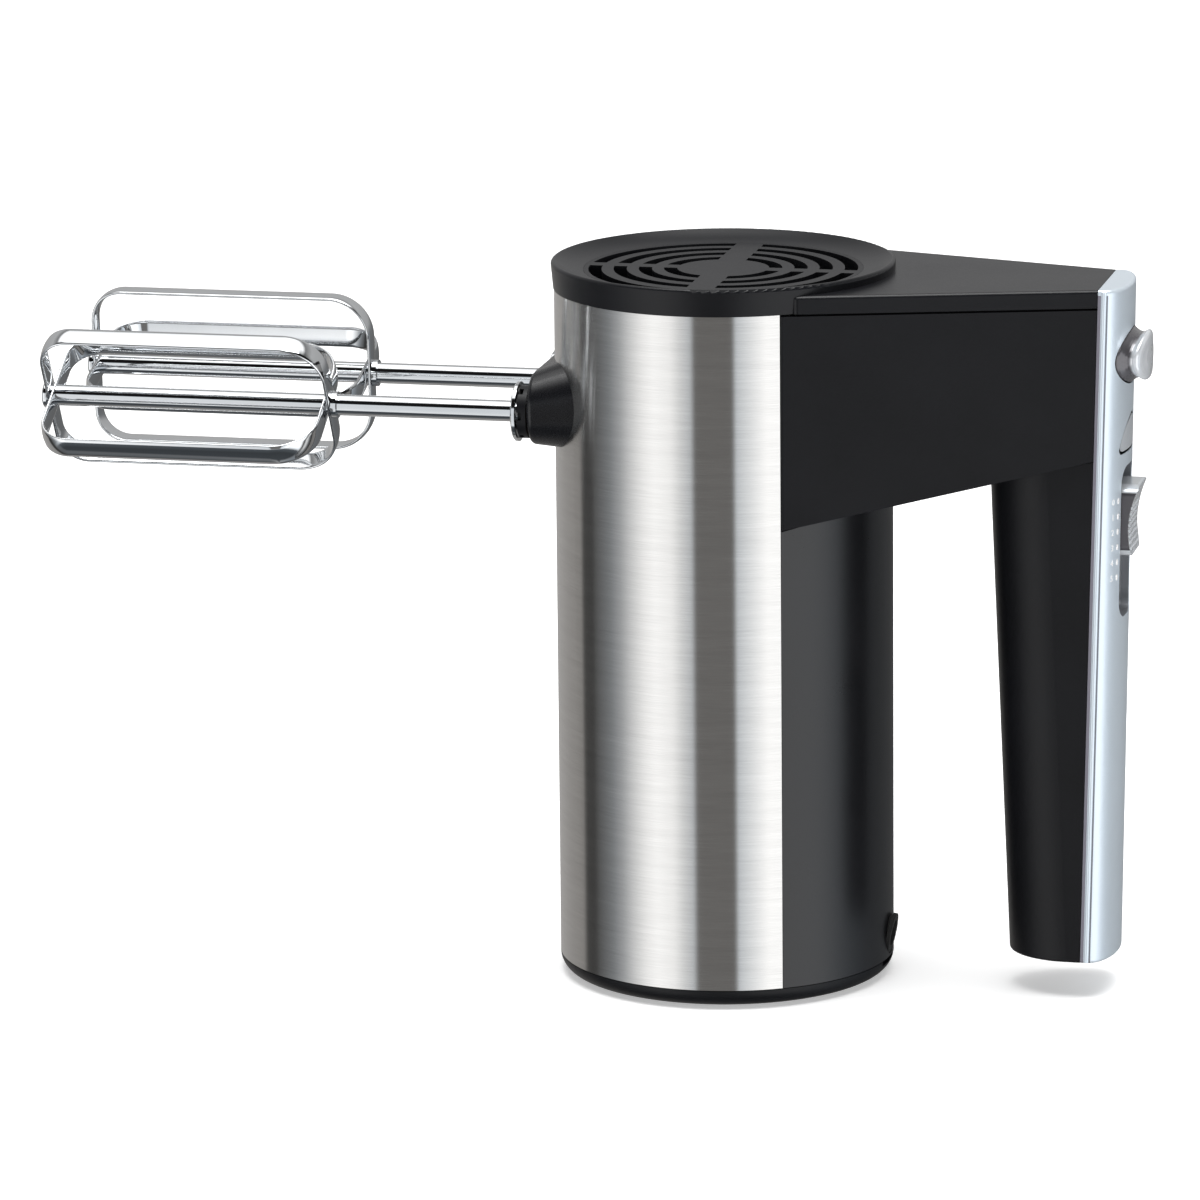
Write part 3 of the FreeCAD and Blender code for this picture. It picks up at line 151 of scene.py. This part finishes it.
# ---- node helpers ----
class Tree:
    """Thin wrapper that makes node trees short to write."""

    def __init__(self, tree):
        self.tree = tree
        tree.nodes.clear()

    def node(self, kind, **values):
        made = self.tree.nodes.new(kind)
        for name, value in values.items():
            setattr(made, name, value)
        return made

    def link(self, source, target):
        self.tree.links.new(source, target)

    def feed(self, value, socket):
        """Links a socket, or sets a constant."""
        if isinstance(value, bpy.types.NodeSocket):
            self.link(value, socket)
        else:
            socket.default_value = value

    def maths(self, operation, a, b=0.0, c=0.0):
        made = self.node("ShaderNodeMath", operation=operation)
        for value, socket in zip((a, b, c), made.inputs):
            self.feed(value, socket)
        return made.outputs[0]

    def ramp(self, factor, stops, smooth=False):
        """Colour ramp; stops are (position, grey or colour)."""
        made = self.node("ShaderNodeValToRGB")
        made.color_ramp.interpolation = "EASE" if smooth else "LINEAR"
        marks = made.color_ramp.elements
        for position, colour in stops[1:-1]:
            marks.new(position).color = rgba(colour)
        for mark, (position, colour) in ((marks[0], stops[0]), (marks[-1], stops[-1])):
            mark.position = position
            mark.color = rgba(colour)
        self.feed(factor, made.inputs["Fac"])
        return made.outputs["Color"]

    def blend(self, first, first_share, second, second_share):
        """Weighted sum of two numbers."""
        weighed = self.maths("MULTIPLY", first, first_share)
        return self.maths("ADD", weighed, self.maths("MULTIPLY", second, second_share))

    def position(self):
        return self.node("ShaderNodeTexCoord").outputs["Object"]

    def parts(self, vector):
        """Node whose outputs are the vector's X, Y and Z."""
        made = self.node("ShaderNodeSeparateXYZ")
        self.link(vector, made.inputs[0])
        return made

    def noise(self, vector, scale, detail=2.0, roughness=0.5):
        made = self.node("ShaderNodeTexNoise")
        self.link(vector, made.inputs["Vector"])
        made.inputs["Scale"].default_value = scale
        made.inputs["Detail"].default_value = detail
        made.inputs["Roughness"].default_value = roughness
        return made.outputs["Fac"]

    def stretch(self, vector, scale):
        made = self.node("ShaderNodeMapping")
        self.link(vector, made.inputs["Vector"])
        made.inputs["Scale"].default_value = scale
        return made.outputs["Vector"]

    def between(self, factor, low, high):
        """Number that goes from low to high as factor goes from 0 to 1."""
        made = self.node("ShaderNodeMapRange")
        self.feed(factor, made.inputs["Value"])
        made.inputs["To Min"].default_value = low
        made.inputs["To Max"].default_value = high
        return made.outputs["Result"]

    def mix(self, factor, first, second):
        """Colour that goes from first to second as factor goes from 0 to 1."""
        made = self.node("ShaderNodeMix", data_type="RGBA")
        self.feed(factor, made.inputs[0])
        self.feed(first if isinstance(first, bpy.types.NodeSocket) else rgba(first), made.inputs[6])
        self.feed(second if isinstance(second, bpy.types.NodeSocket) else rgba(second), made.inputs[7])
        return made.outputs[2]

    def bump(self, height, strength, distance):
        made = self.node("ShaderNodeBump")
        made.inputs["Strength"].default_value = strength
        made.inputs["Distance"].default_value = distance
        self.link(height, made.inputs["Height"])
        return made.outputs["Normal"]


def rgba(colour):
    if isinstance(colour, (int, float)):
        colour = (colour, colour, colour)
    return (*colour, 1.0)


def toned(colour, share):
    return tuple(c * share for c in colour)


def surface(name, **inputs):
    """New material with a Principled shader; returns (material, tree, shader)."""
    material = bpy.data.materials.new(name)
    material.use_nodes = True
    tree = Tree(material.node_tree)
    shader = tree.node("ShaderNodeBsdfPrincipled")
    output = tree.node("ShaderNodeOutputMaterial")
    tree.link(shader.outputs[0], output.inputs["Surface"])
    for socket, value in inputs.items():
        shader.inputs[socket.replace("_", " ")].default_value = value
    return material, tree, shader


# ---- materials ----
def moulded_plastic(name, colour, roughness, grain=0.35, grain_size=0.45, gloss=0.25):
    """Spark-eroded plastic: fine pebbled grain, slightly uneven gloss and tone."""
    material, t, shader = surface(name, IOR=1.45, Specular_IOR_Level=gloss)
    place = t.position()
    pebbles = t.noise(place, 1 / (grain_size * MM), 2.5, 0.6)
    cloud = t.noise(place, 45.0, 3.0)
    tones = [(0.3, toned(colour, 0.86)), (0.7, toned(colour, 1.14))]
    t.link(t.ramp(cloud, tones), shader.inputs["Base Color"])
    mixed = t.blend(pebbles, 0.6, cloud, 0.4)
    t.link(t.between(mixed, roughness - 0.08, roughness + 0.08), shader.inputs["Roughness"])
    t.link(t.bump(pebbles, grain, 0.06 * MM), shader.inputs["Normal"])
    return material


def brushed_round(name, colour, roughness, anisotropy):
    """Steel brushed round the body's own axis: long fine scratches along the circumference."""
    material, t, shader = surface(name, Metallic=1.0, Anisotropic=anisotropy, Anisotropic_Rotation=0.25)
    parts = t.parts(t.position())
    angle = t.maths("ARCTAN2", parts.outputs["Y"], parts.outputs["X"])
    along = t.node("ShaderNodeCombineXYZ")
    t.link(t.maths("MULTIPLY", angle, 2.2), along.inputs["X"])
    t.link(t.maths("MULTIPLY", parts.outputs["Z"], 3600.0), along.inputs["Y"])
    fine = t.noise(along.outputs[0], 1.6, 3.0, 0.7)
    wide = t.node("ShaderNodeCombineXYZ")
    t.link(t.maths("MULTIPLY", angle, 1.1), wide.inputs["X"])
    t.link(t.maths("MULTIPLY", parts.outputs["Z"], 420.0), wide.inputs["Y"])
    bands = t.noise(wide.outputs[0], 1.0, 2.0)
    scratch = t.blend(fine, 0.7, bands, 0.3)
    tones = [(0.3, toned(colour, 0.8)), (0.7, colour)]
    t.link(t.ramp(scratch, tones), shader.inputs["Base Color"])
    t.link(t.between(scratch, roughness - 0.02, roughness + 0.03), shader.inputs["Roughness"])
    t.link(t.bump(fine, 0.12, 0.02 * MM), shader.inputs["Normal"])
    tangent = t.node("ShaderNodeTangent", direction_type="RADIAL", axis="Z")
    t.link(tangent.outputs[0], shader.inputs["Tangent"])
    return material


def satin_paint(name, colour):
    """Silver paint, its colour not yet linked: tiny flakes under a soft clear coat."""
    material, t, shader = surface(name, Metallic=0.55, Coat_Weight=0.25, Coat_Roughness=0.18)
    place = t.position()
    flakes = t.node("ShaderNodeTexVoronoi")
    t.link(place, flakes.inputs["Vector"])
    flakes.inputs["Scale"].default_value = 4200.0
    cloud = t.noise(place, 30.0, 2.0)
    tone = t.blend(flakes.outputs["Distance"], 0.5, cloud, 0.5)
    paint = t.ramp(tone, [(0.2, toned(colour, 0.93)), (0.6, colour)])
    t.link(t.between(tone, 0.30, 0.40), shader.inputs["Roughness"])
    t.link(t.bump(flakes.outputs["Distance"], 0.05, 0.01 * MM), shader.inputs["Normal"])
    return material, t, shader, paint


def below_paint(t, parts):
    """1 where a point lies deeper than the trim's painted outside, in its holes; 0 elsewhere."""
    across = t.maths("DIVIDE", parts.outputs["Y"], TRIM_HALF * MM)
    round_off = t.maths("SQRT", t.maths("SUBTRACT", 1.0, t.maths("MULTIPLY", across, across)))
    foot = TRIM_JOINT[0] + TRIM_FLANK
    side = t.maths("MULTIPLY_ADD", parts.outputs["Z"], TRIM_JOINT[1], foot * MM)
    back = t.maths("MULTIPLY_ADD", parts.outputs["Z"], TRIM_BACK[1], TRIM_BACK[0] * MM)
    skin = t.maths("MULTIPLY_ADD", t.maths("SUBTRACT", back, side), round_off, side)
    depth = t.maths("SUBTRACT", skin, parts.outputs["X"])
    deep = t.maths("GREATER_THAN", depth, PAINT_DEPTH * MM)
    inside = t.maths("LESS_THAN", t.maths("ABSOLUTE", across), HOLE_REACH)
    middle, reach = sum(TRIM_ENDS) / 2 * MM, (TRIM_ENDS[1] - TRIM_ENDS[0]) / 2 * MM
    level = t.maths("COMPARE", parts.outputs["Z"], middle, reach)
    return t.maths("MULTIPLY", t.maths("MULTIPLY", deep, inside), level)


def trim_paint(name, colour, lines=()):
    """The silver paint, with painted shade as darker lines along the joint and on the recess floor, and
    bare plastic with painted shade inside the holes.
    """
    material, t, shader, paint = satin_paint(name, colour)
    parts = t.parts(t.position())
    lean = t.maths("MULTIPLY_ADD", parts.outputs["Z"], -TRIM_JOINT[1], -TRIM_JOINT[0] * MM)
    depth = t.maths("ADD", parts.outputs["X"], lean)
    below_top = t.maths("LESS_THAN", parts.outputs["Z"], TRIM_TOP * MM)
    # Painted shade: darker lines along the joint.
    for low, high, shade in lines:
        centre, half = (low + high) / 2 * MM, (high - low) / 2 * MM
        line = t.maths("MULTIPLY", t.maths("COMPARE", depth, centre, half), below_top)
        paint = t.mix(line, paint, shade)
    low, high = RECESS_ZONE
    recess = t.maths("COMPARE", parts.outputs["Z"], (low + high) / 2 * MM, (high - low) / 2 * MM)
    # Inside the holes: bare plastic with painted shade; in the recess zone, silver darkened as painted
    # shade.
    paint = t.mix(below_paint(t, parts), paint, t.mix(recess, HOLE_PLASTIC_AND_SHADE, RECESS_SHADE))
    t.link(paint, shader.inputs["Base Color"])
    return material


def control_metal(name, colour, shaded):
    """Polished silver of a control; shaded gives the tree's 0 to 1 share of painted shade, which
    darkens the slider's flanks and the button's waist.
    """
    material, t, shader = surface(name, Metallic=0.4, Coat_Weight=0.5, Coat_Roughness=0.08)
    place = t.position()
    cloud = t.noise(place, 220.0, 3.0)
    grain = t.noise(place, 5200.0, 2.0)
    paint = t.ramp(cloud, [(0.3, toned(colour, 0.9)), (0.7, colour)])
    # Painted shade where the mask is 1.
    paint = t.mix(shaded(t, t.parts(place)), paint, PAINTED_SHADE)
    t.link(paint, shader.inputs["Base Color"])
    t.link(t.between(grain, 0.16, 0.26), shader.inputs["Roughness"])
    t.link(t.bump(grain, 0.06, 0.01 * MM), shader.inputs["Normal"])
    return material


def slider_flanks(t, parts):
    """1 on the slider's two sides, where shade is painted."""
    return t.maths("GREATER_THAN", t.maths("ABSOLUTE", parts.outputs["Y"]), SLIDER_FLANK * MM)


def button_waist(t, parts):
    """1 round the eject button's waist, where shade is painted, 0 on its head."""
    waist = t.node("ShaderNodeMapRange", interpolation_type="SMOOTHSTEP")
    bulge = t.maths("MULTIPLY", parts.outputs["Y"], parts.outputs["Y"])
    t.link(t.maths("MULTIPLY_ADD", bulge, WAIST_ARCH / MM, parts.outputs["X"]), waist.inputs["Value"])
    low, high = WAIST_FADE
    waist.inputs["From Min"].default_value = low * MM
    waist.inputs["From Max"].default_value = high * MM
    waist.inputs["To Min"].default_value = 1.0
    waist.inputs["To Max"].default_value = 0.0
    return waist.outputs["Result"]


def bright_metal(name, colour, roughness, smudge=0.05):
    """Plated or ground metal with faint smudges and fine turning marks."""
    material, t, shader = surface(name, Metallic=1.0)
    place = t.position()
    cloud = t.noise(place, 70.0, 4.0, 0.6)
    lines = t.noise(t.stretch(place, (400.0, 9000.0, 9000.0)), 1.0, 1.0)
    tones = [(0.3, toned(colour, 0.94)), (0.7, colour)]
    t.link(t.ramp(cloud, tones), shader.inputs["Base Color"])
    t.link(t.between(cloud, roughness, roughness + smudge), shader.inputs["Roughness"])
    t.link(t.bump(lines, 0.03, 0.01 * MM), shader.inputs["Normal"])
    return material


def layered(name, colour, metallic, roughness, pitch, axis, strength=0.4):
    """Stacked sheets or wound wire: fine parallel ridges, pitch apart along an axis."""
    material, t, shader = surface(name, Metallic=metallic)
    place = t.position()
    wave = t.node("ShaderNodeTexWave", wave_type="BANDS", bands_direction=axis)
    t.link(place, wave.inputs["Vector"])
    wave.inputs["Scale"].default_value = 1 / (pitch * MM) / WAVES_PER_METRE
    wave.inputs["Distortion"].default_value = 0.4
    cloud = t.noise(place, 160.0, 2.0)
    tones = [(0.2, toned(colour, 0.6)), (0.8, colour)]
    tone = t.blend(wave.outputs["Fac"], 0.6, cloud, 0.4)
    t.link(t.ramp(tone, tones), shader.inputs["Base Color"])
    t.link(t.between(cloud, roughness - 0.06, roughness + 0.08), shader.inputs["Roughness"])
    t.link(t.bump(wave.outputs["Fac"], strength, 0.1 * MM), shader.inputs["Normal"])
    return material


def cast_metal(name, colour):
    """Sand-textured die casting."""
    material, t, shader = surface(name, Metallic=1.0)
    place = t.position()
    sand = t.noise(place, 1800.0, 3.0, 0.7)
    cloud = t.noise(place, 60.0, 3.0)
    tones = [(0.3, toned(colour, 0.8)), (0.7, colour)]
    t.link(t.ramp(cloud, tones), shader.inputs["Base Color"])
    t.link(t.between(sand, 0.42, 0.6), shader.inputs["Roughness"])
    t.link(t.bump(sand, 0.4, 0.06 * MM), shader.inputs["Normal"])
    return material


def circuit_board(name):
    """Solder mask with faint copper tracks under it."""
    material, t, shader = surface(name, Roughness=0.3)
    place = t.position()
    tracks = t.node("ShaderNodeTexBrick")
    t.link(t.stretch(place, (300.0, 300.0, 300.0)), tracks.inputs["Vector"])
    tracks.inputs["Color1"].default_value = rgba((0.03, 0.16, 0.06))
    tracks.inputs["Color2"].default_value = rgba((0.02, 0.12, 0.05))
    tracks.inputs["Mortar"].default_value = rgba((0.05, 0.26, 0.1))
    tracks.inputs["Mortar Size"].default_value = 0.04
    t.link(tracks.outputs["Color"], shader.inputs["Base Color"])
    t.link(t.bump(tracks.outputs["Fac"], 0.2, 0.03 * MM), shader.inputs["Normal"])
    return material


def make_materials():
    return {
        "rubber_pad": moulded_plastic("rubber", (0.02, 0.02, 0.02), 0.75, 0.6, 0.7),
        "black_plastic": moulded_plastic("black_plastic", BLACK, 0.39),
        "liner_plastic": moulded_plastic("liner_plastic", (0.05, 0.05, 0.052), 0.5),
        "brushed_steel": brushed_round("brushed_steel", (0.655, 0.65, 0.64), 0.16, 1.0),
        "silver_trim": trim_paint("silver_paint", (0.69, 0.765, 0.83), TRIM_SHADE_LINES),
        "zinc_steel": bright_metal("zinc_steel", (0.56, 0.57, 0.6), 0.28, 0.12),
        "ground_steel": bright_metal("ground_steel", (0.52, 0.52, 0.53), 0.2, 0.1),
        "chrome": bright_metal("chrome", (0.72, 0.735, 0.75), 0.05, 0.04),
        "die_cast": cast_metal("die_cast", (0.5, 0.5, 0.51)),
        "laminations": layered("laminations", (0.22, 0.22, 0.235), 1.0, 0.45, 0.5, "Z"),
        "copper_wire": layered("copper_wire", (0.5, 0.17, 0.06), 0.8, 0.3, 0.5, "DIAGONAL"),
        "copper_bars": bright_metal("copper_bars", (0.65, 0.33, 0.18), 0.22, 0.1),
        "bronze": cast_metal("sintered_bronze", (0.5, 0.34, 0.15)),
        "carbon": moulded_plastic("carbon", (0.03, 0.03, 0.03), 0.6, 0.5, 0.3),
        "gear_nylon": moulded_plastic("nylon", (0.62, 0.6, 0.53), 0.4, 0.15, 0.6),
        "circuit_board": circuit_board("solder_mask"),
    }


def own_finishes():
    """Finishes of single nodes that differ from the rest of their slot."""
    return {
        "eject_button": control_metal("button_silver", (0.74, 0.76, 0.79), button_waist),
        "speed_slider": control_metal("slider_silver", (0.74, 0.77, 0.80), slider_flanks),
        "turbo_button": trim_paint("turbo_silver", (0.66, 0.69, 0.72)),
        "rear_shell": moulded_plastic("black_gloss", BLACK, 0.3, 0.1, 0.45, 0.62),
        "top_cover": moulded_plastic("cover_gloss", BLACK, 0.31, 0.03, 0.45, 0.28),
        "beater_boss": moulded_plastic("boss_gloss", BLACK, 0.27, 0.03, 0.45, 0.5),
    }


def dress_nodes(materials):
    """Gives every CAD node its finish and smooth shading across its curved faces."""
    slots = {s["node"]: s["material_slot"] for s in frame["record"]["subparts"]}
    special = own_finishes()
    for name, node in NODES.items():
        node.data.materials.clear()
        node.data.materials.append(special.get(name, materials[slots[name]]))
        node.data.shade_smooth()
        split = node.modifiers.new("edge_split", "EDGE_SPLIT")
        split.split_angle = CREASE


# ---- pieces built here ----
def new_piece(name, vertices, faces, material, body):
    mesh = bpy.data.meshes.new(name)
    mesh.from_pydata(vertices, [], faces)
    mesh.materials.append(material)
    mesh.shade_smooth()
    piece = bpy.data.objects.new(name, mesh)
    bpy.context.scene.collection.objects.link(piece)
    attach(piece, body)
    return piece


def loop_path(nest):
    """Closed path of a loop's outer face as (x, r, normal x, normal r), in millimetres."""
    tip, root = LOOP_TIP + nest, LOOP_ROOT - nest
    at_tip, at_root = LOOP_CORNERS
    corners = [
        (root - at_root, LOOP_R - at_root, at_root, 0),
        (tip + at_tip, LOOP_R - at_tip, at_tip, 90),
        (tip + at_tip, at_tip - LOOP_R, at_tip, 180),
        (root - at_root, at_root - LOOP_R, at_root, 270),
    ]
    path = []
    for x, r, radius, start in corners:
        for step in range(CORNER_STEPS + 1):
            angle = math.radians(start + 90 * step / CORNER_STEPS)
            nx, nr = math.cos(angle), math.sin(angle)
            path.append((x + radius * nx, r + radius * nr, nx, nr))
    return path


def strip_section():
    """Cross-section of a pressed strip as (across, depth): crowned faces and rounded edges."""
    half = LOOP_WIDTH / 2
    flat = half - STRIP_EDGE
    outer, inner = LOOP_CROWN
    low, high = -outer, -LOOP_STRIP + inner
    middle, rise = (low + high) / 2, (low - high) / 2
    points = []
    for side, depth, crown in ((1, 0.0, -outer), (-1, -LOOP_STRIP, inner)):
        for k in range(FACE_STEPS + 1):
            u = flat * side * (2 * k / FACE_STEPS - 1)
            points.append((u, depth + crown * (u / half) ** 2))
        for turn in EDGE_TURNS:
            angle = math.radians(turn)
            across = side * (flat + STRIP_EDGE * math.cos(angle))
            points.append((across, middle + side * rise * math.sin(angle)))
    return points


def make_loop(side_name, which, material):
    """Pressed strip bent into a closed loop, in place of its CAD node."""
    side = -1 if side_name == "left" else 1
    angle = math.radians(LOOP_ANGLES[side_name][which])
    radial = Vector((0, -math.sin(angle), math.cos(angle)))
    across = Vector((0, math.cos(angle), math.sin(angle)))
    centre = Vector((0, side * SPINDLE_Y, SPINDLE_Z))
    section = strip_section()
    path = loop_path(LOOP_NEST * which)
    vertices = []
    for x, r, nx, nr in path:
        for u, depth in section:
            place = centre + across * u + radial * (r + nr * depth)
            place.x = x + nx * depth
            vertices.append(place * MM)
    faces = []
    count, ring = len(section), len(path)
    for i in range(ring):
        for j in range(count):
            a, b = i * count, (i + 1) % ring * count
            k = (j + 1) % count
            faces.append((a + j, b + j, b + k, a + k))
    node = side_name + ("_outer_loop", "_inner_loop")[which]
    piece = new_piece(node + "_strip", vertices, faces, material, side_name + "_beater")
    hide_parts(node)


def make_spring(material):
    """Return spring of the ejector, coiled in place of its CAD node and attached to the ejector at a
    fixed length.
    """
    box_low, box_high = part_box("eject_spring")
    centre = (Vector(box_low) + Vector(box_high)) / 2 / MM
    ring = SPRING_RING
    count = SPRING_TURNS * SPRING_STEPS
    first, last = SPRING_ENDS
    vertices = []
    for k in range(count + 1):
        share = k / count
        turn = 2 * math.pi * SPRING_TURNS * share
        out = Vector((0, math.cos(turn), math.sin(turn)))
        place = Vector((first + (last - first) * share, centre.y, centre.z))
        for j in range(ring):
            around = 2 * math.pi * j / ring
            wire = out * math.cos(around) + Vector((math.sin(around), 0, 0))
            vertices.append((place + out * SPRING_R + wire * SPRING_WIRE) * MM)
    faces = [tuple(range(ring)), tuple(range(count * ring + ring - 1, count * ring - 1, -1))]
    for k in range(count):
        a, b = k * ring, (k + 1) * ring
        faces += [(a + j, b + j, b + (j + 1) % ring, a + (j + 1) % ring) for j in range(ring)]
    spring = new_piece("eject_spring_coil", vertices, faces, material, "ejector")
    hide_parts("eject_spring")
    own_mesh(spring)


def trim_skin(y, z):
    """x of the trim's outside at a height and a distance from the middle, in millimetres."""
    foot = TRIM_JOINT[0] + TRIM_JOINT[1] * z + TRIM_FLANK
    back = TRIM_BACK[0] + TRIM_BACK[1] * z
    return foot + (back - foot) * math.sqrt(1 - (y / TRIM_HALF) ** 2)


def print_on_trim(name, flat, faces, y, z, material):
    """Wraps a flat print on the trim; flat points are (along, up, lift) from (y, z)."""
    slope = trim_skin(y + 0.5, z) - trim_skin(y - 0.5, z)
    turn = 1 / math.hypot(1, slope)
    vertices = []
    for along, up, lift in flat:
        at_y, at_z = y + along * turn, z + up
        place = Vector((trim_skin(at_y, at_z) + lift * turn, at_y - lift * slope * turn, at_z))
        vertices.append(place * MM)
    new_piece(name, vertices, faces, material, "root")


def pill(width, height, steps=8):
    """Flat upright pill with a little thickness, as points and faces."""
    outline = []
    radius = width / 2
    for end, middle in ((0, height / 2 - radius), (180, radius - height / 2)):
        for k in range(steps + 1):
            angle = math.radians(end + 180 * k / steps)
            outline.append((radius * math.cos(angle), middle + radius * math.sin(angle)))
    points = [(u, v, lift) for lift in (-INK, INK) for u, v in outline]
    count = len(outline)
    faces = [tuple(range(count, 2 * count)), tuple(reversed(range(count)))]
    faces += [(k, (k + 1) % count, count + (k + 1) % count, count + k) for k in range(count)]
    return points, faces


def digit(number):
    """A digit's solid outline as points and faces, centred, in millimetres."""
    curve = bpy.data.curves.new("digit", "FONT")
    curve.body = str(number)
    curve.size = DIGIT_HEIGHT / DIGIT_SHARE
    curve.extrude = INK
    curve.align_x = "CENTER"
    curve.align_y = "CENTER"
    curve.resolution_u = 3
    holder = bpy.data.objects.new("digit", curve)
    mesh = bpy.data.meshes.new_from_object(holder)
    points = [tuple(v.co) for v in mesh.vertices]
    faces = [tuple(p.vertices) for p in mesh.polygons]
    bpy.data.objects.remove(holder)
    bpy.data.meshes.remove(mesh)
    bpy.data.curves.remove(curve)
    return points, faces


def make_scale():
    """Six raised marks and digits beside the speed slider, 0 at the top."""
    ink, t, shader = surface("white_ink", Roughness=0.35)
    cloud = t.noise(t.position(), 900.0, 2.0)
    t.link(t.ramp(cloud, [(0.3, 0.84), (0.7, 0.94)]), shader.inputs["Base Color"])
    for step in range(SCALE_STEPS):
        z = SCALE_TOP - SCALE_PITCH * step
        print_on_trim("speed_mark_%d" % step, *pill(*MARK_SIZE), MARK_Y, z, ink)
        print_on_trim("speed_digit_%d" % step, *digit(step), DIGIT_Y, z, ink)


def make_pieces(materials):
    for side_name in LOOP_ANGLES:
        for which in (0, 1):
            make_loop(side_name, which, materials["chrome"])
    make_spring(materials["zinc_steel"])
    make_scale()


# ---- studio ----
def make_floor():
    mesh = bpy.data.meshes.new("floor")
    h = FLOOR_SIZE / 2
    mesh.from_pydata([(-h, -h, 0), (h, -h, 0), (h, h, 0), (-h, h, 0)], [], [(0, 1, 2, 3)])
    floor = bpy.data.objects.new("floor", mesh)
    bpy.context.scene.collection.objects.link(floor)
    material, t, shader = surface(
        "floor_paper", Roughness=0.9, Specular_IOR_Level=0.1,
        Emission_Color=rgba(1.0), Emission_Strength=0.4,
    )
    paper = t.noise(t.position(), 6.0, 2.0)
    t.link(t.ramp(paper, [(0.0, 0.88), (1.0, 0.92)]), shader.inputs["Base Color"])
    mesh.materials.append(material)
    floor.visible_glossy = False


# Light at table height, as (degrees round from the camera's side, brightness, warmth).
AROUND = [
    (-180, 0.50, 0.02),
    (-150, 0.52, 0.03),
    (-122, 0.42, 0.04),
    (-117, 0.38, 0.04),
    (-115, 0.03, 0.04),
    (-104, 0.04, 0.02),
    (-100, 0.14, -0.02),
    (-86, 0.33, -0.05),
    (-77, 0.56, -0.03),
    (-68, 0.98, -0.01),
    (-58, 1.42, 0.0),
    (-50, 1.62, 0.0),
    (-38, 1.45, 0.0),
    (-31, 1.05, -0.01),
    (-24, 0.78, -0.04),
    (-21, 0.20, 0.03),
    (5, 0.19, 0.03),
    (7, 0.88, -0.05),
    (17, 1.25, -0.02),
    (28, 1.70, 0.0),
    (66, 1.70, -0.02),
    (84, 0.90, -0.08),
    (102, 0.40, -0.10),
    (122, 0.20, -0.05),
    (165, 0.14, 0.0),
    (180, 0.50, 0.02),
]
# Light above and below it, as (degrees above the horizon, brightness, warmth).
IN_FRONT = [
    (-90, 0.08, -0.10),
    (-60, 0.06, -0.10),
    (-50, 0.12, -0.10),
    (-43, 0.95, -0.06),
    (18, 0.95, -0.06),
    (24, 0.01, 0.0),
    (57, 0.01, 0.0),
    (62, 1.55, 0.0),
    (90, 1.55, 0.0),
]
BEHIND = [
    (-90, 0.08, 0.0),
    (-12, 0.12, 0.0),
    (3, 0.40, 0.0),
    (9, 0.47, 0.0),
    (34, 0.54, 0.0),
    (48, 0.25, 0.0),
    (54, 1.50, 0.0),
    (90, 1.55, 0.0),
]
# How much the table-height light counts, as (degrees above the horizon, share).
TABLE_FRONT = [(-90, 0.0), (-50, 0.0), (-42, 1.0), (16, 1.0), (22, 0.0), (90, 0.0)]
TABLE_BEHIND = [(-90, 0.6), (-3, 0.8), (6, 0.0), (90, 0.0)]
BRIGHTEST = 2.0


def light_ramp(tree, share, stops, half_turn):
    """Colour ramp of light levels over an angle that runs from -half_turn to half_turn."""
    marks = []
    for degrees, level, warmth in stops:
        value = level / BRIGHTEST
        colour = (value * (1 + warmth), value, value * (1 - warmth))
        marks.append(((degrees + half_turn) / (2 * half_turn), colour))
    return tree.ramp(share, marks)


def make_world():
    """Soft studio dome: light panels and dark gaps, told apart by compass angle and height."""
    world = bpy.data.worlds.new("studio")
    bpy.context.scene.world = world
    world.use_nodes = True
    t = Tree(world.node_tree)
    direction = t.node("ShaderNodeTexCoord").outputs["Generated"]
    turn = t.node("ShaderNodeVectorRotate", rotation_type="Z_AXIS")
    t.link(direction, turn.inputs["Vector"])
    turn.inputs["Angle"].default_value = math.pi / 2 - CAMERA_AZIMUTH
    turned = t.parts(turn.outputs[0])
    compass = t.maths("ARCTAN2", turned.outputs["Y"], turned.outputs["X"])
    around = t.maths("MULTIPLY_ADD", compass, 0.5 / math.pi, 0.5)
    height = t.maths("MULTIPLY_ADD", t.maths("ARCSINE", turned.outputs["Z"]), 1 / math.pi, 0.5)
    table = light_ramp(t, around, AROUND, 180)
    halves = []
    for sky, weights in ((BEHIND, TABLE_BEHIND), (IN_FRONT, TABLE_FRONT)):
        weight = t.ramp(height, [((degrees + 90) / 180, share) for degrees, share in weights])
        halves.append(t.mix(weight, light_ramp(t, height, sky, 90), table))
    facing = t.maths("MULTIPLY_ADD", turned.outputs["X"], 3.0, 0.5)
    facing = t.maths("MINIMUM", t.maths("MAXIMUM", facing, 0.0), 1.0)
    background = t.node("ShaderNodeBackground")
    t.link(t.mix(facing, *halves), background.inputs["Color"])
    background.inputs["Strength"].default_value = BRIGHTEST
    output = t.node("ShaderNodeOutputWorld")
    t.link(background.outputs[0], output.inputs["Surface"])


def area_light(name, place, target, size, power):
    """Rectangular lamp at a place, facing a target."""
    data = bpy.data.lights.new(name, "AREA")
    data.shape = "RECTANGLE"
    data.size, data.size_y = size
    data.energy = power
    lamp = bpy.data.objects.new(name, data)
    bpy.context.scene.collection.objects.link(lamp)
    lamp.location = place
    back = Vector(place) - Vector(target)
    lamp.rotation_mode = "QUATERNION"
    lamp.rotation_quaternion = back.to_track_quat("Z", "Y")


def make_lights():
    area_light("overhead", (0.1, -0.1, 2.2), (0, 0, 0), (1.5, 1.5), 42)


make_camera()
make_floor()
make_world()
make_lights()
bpy.context.scene.view_settings.view_transform = "Standard"
materials = make_materials()
dress_nodes(materials)
make_pieces(materials)
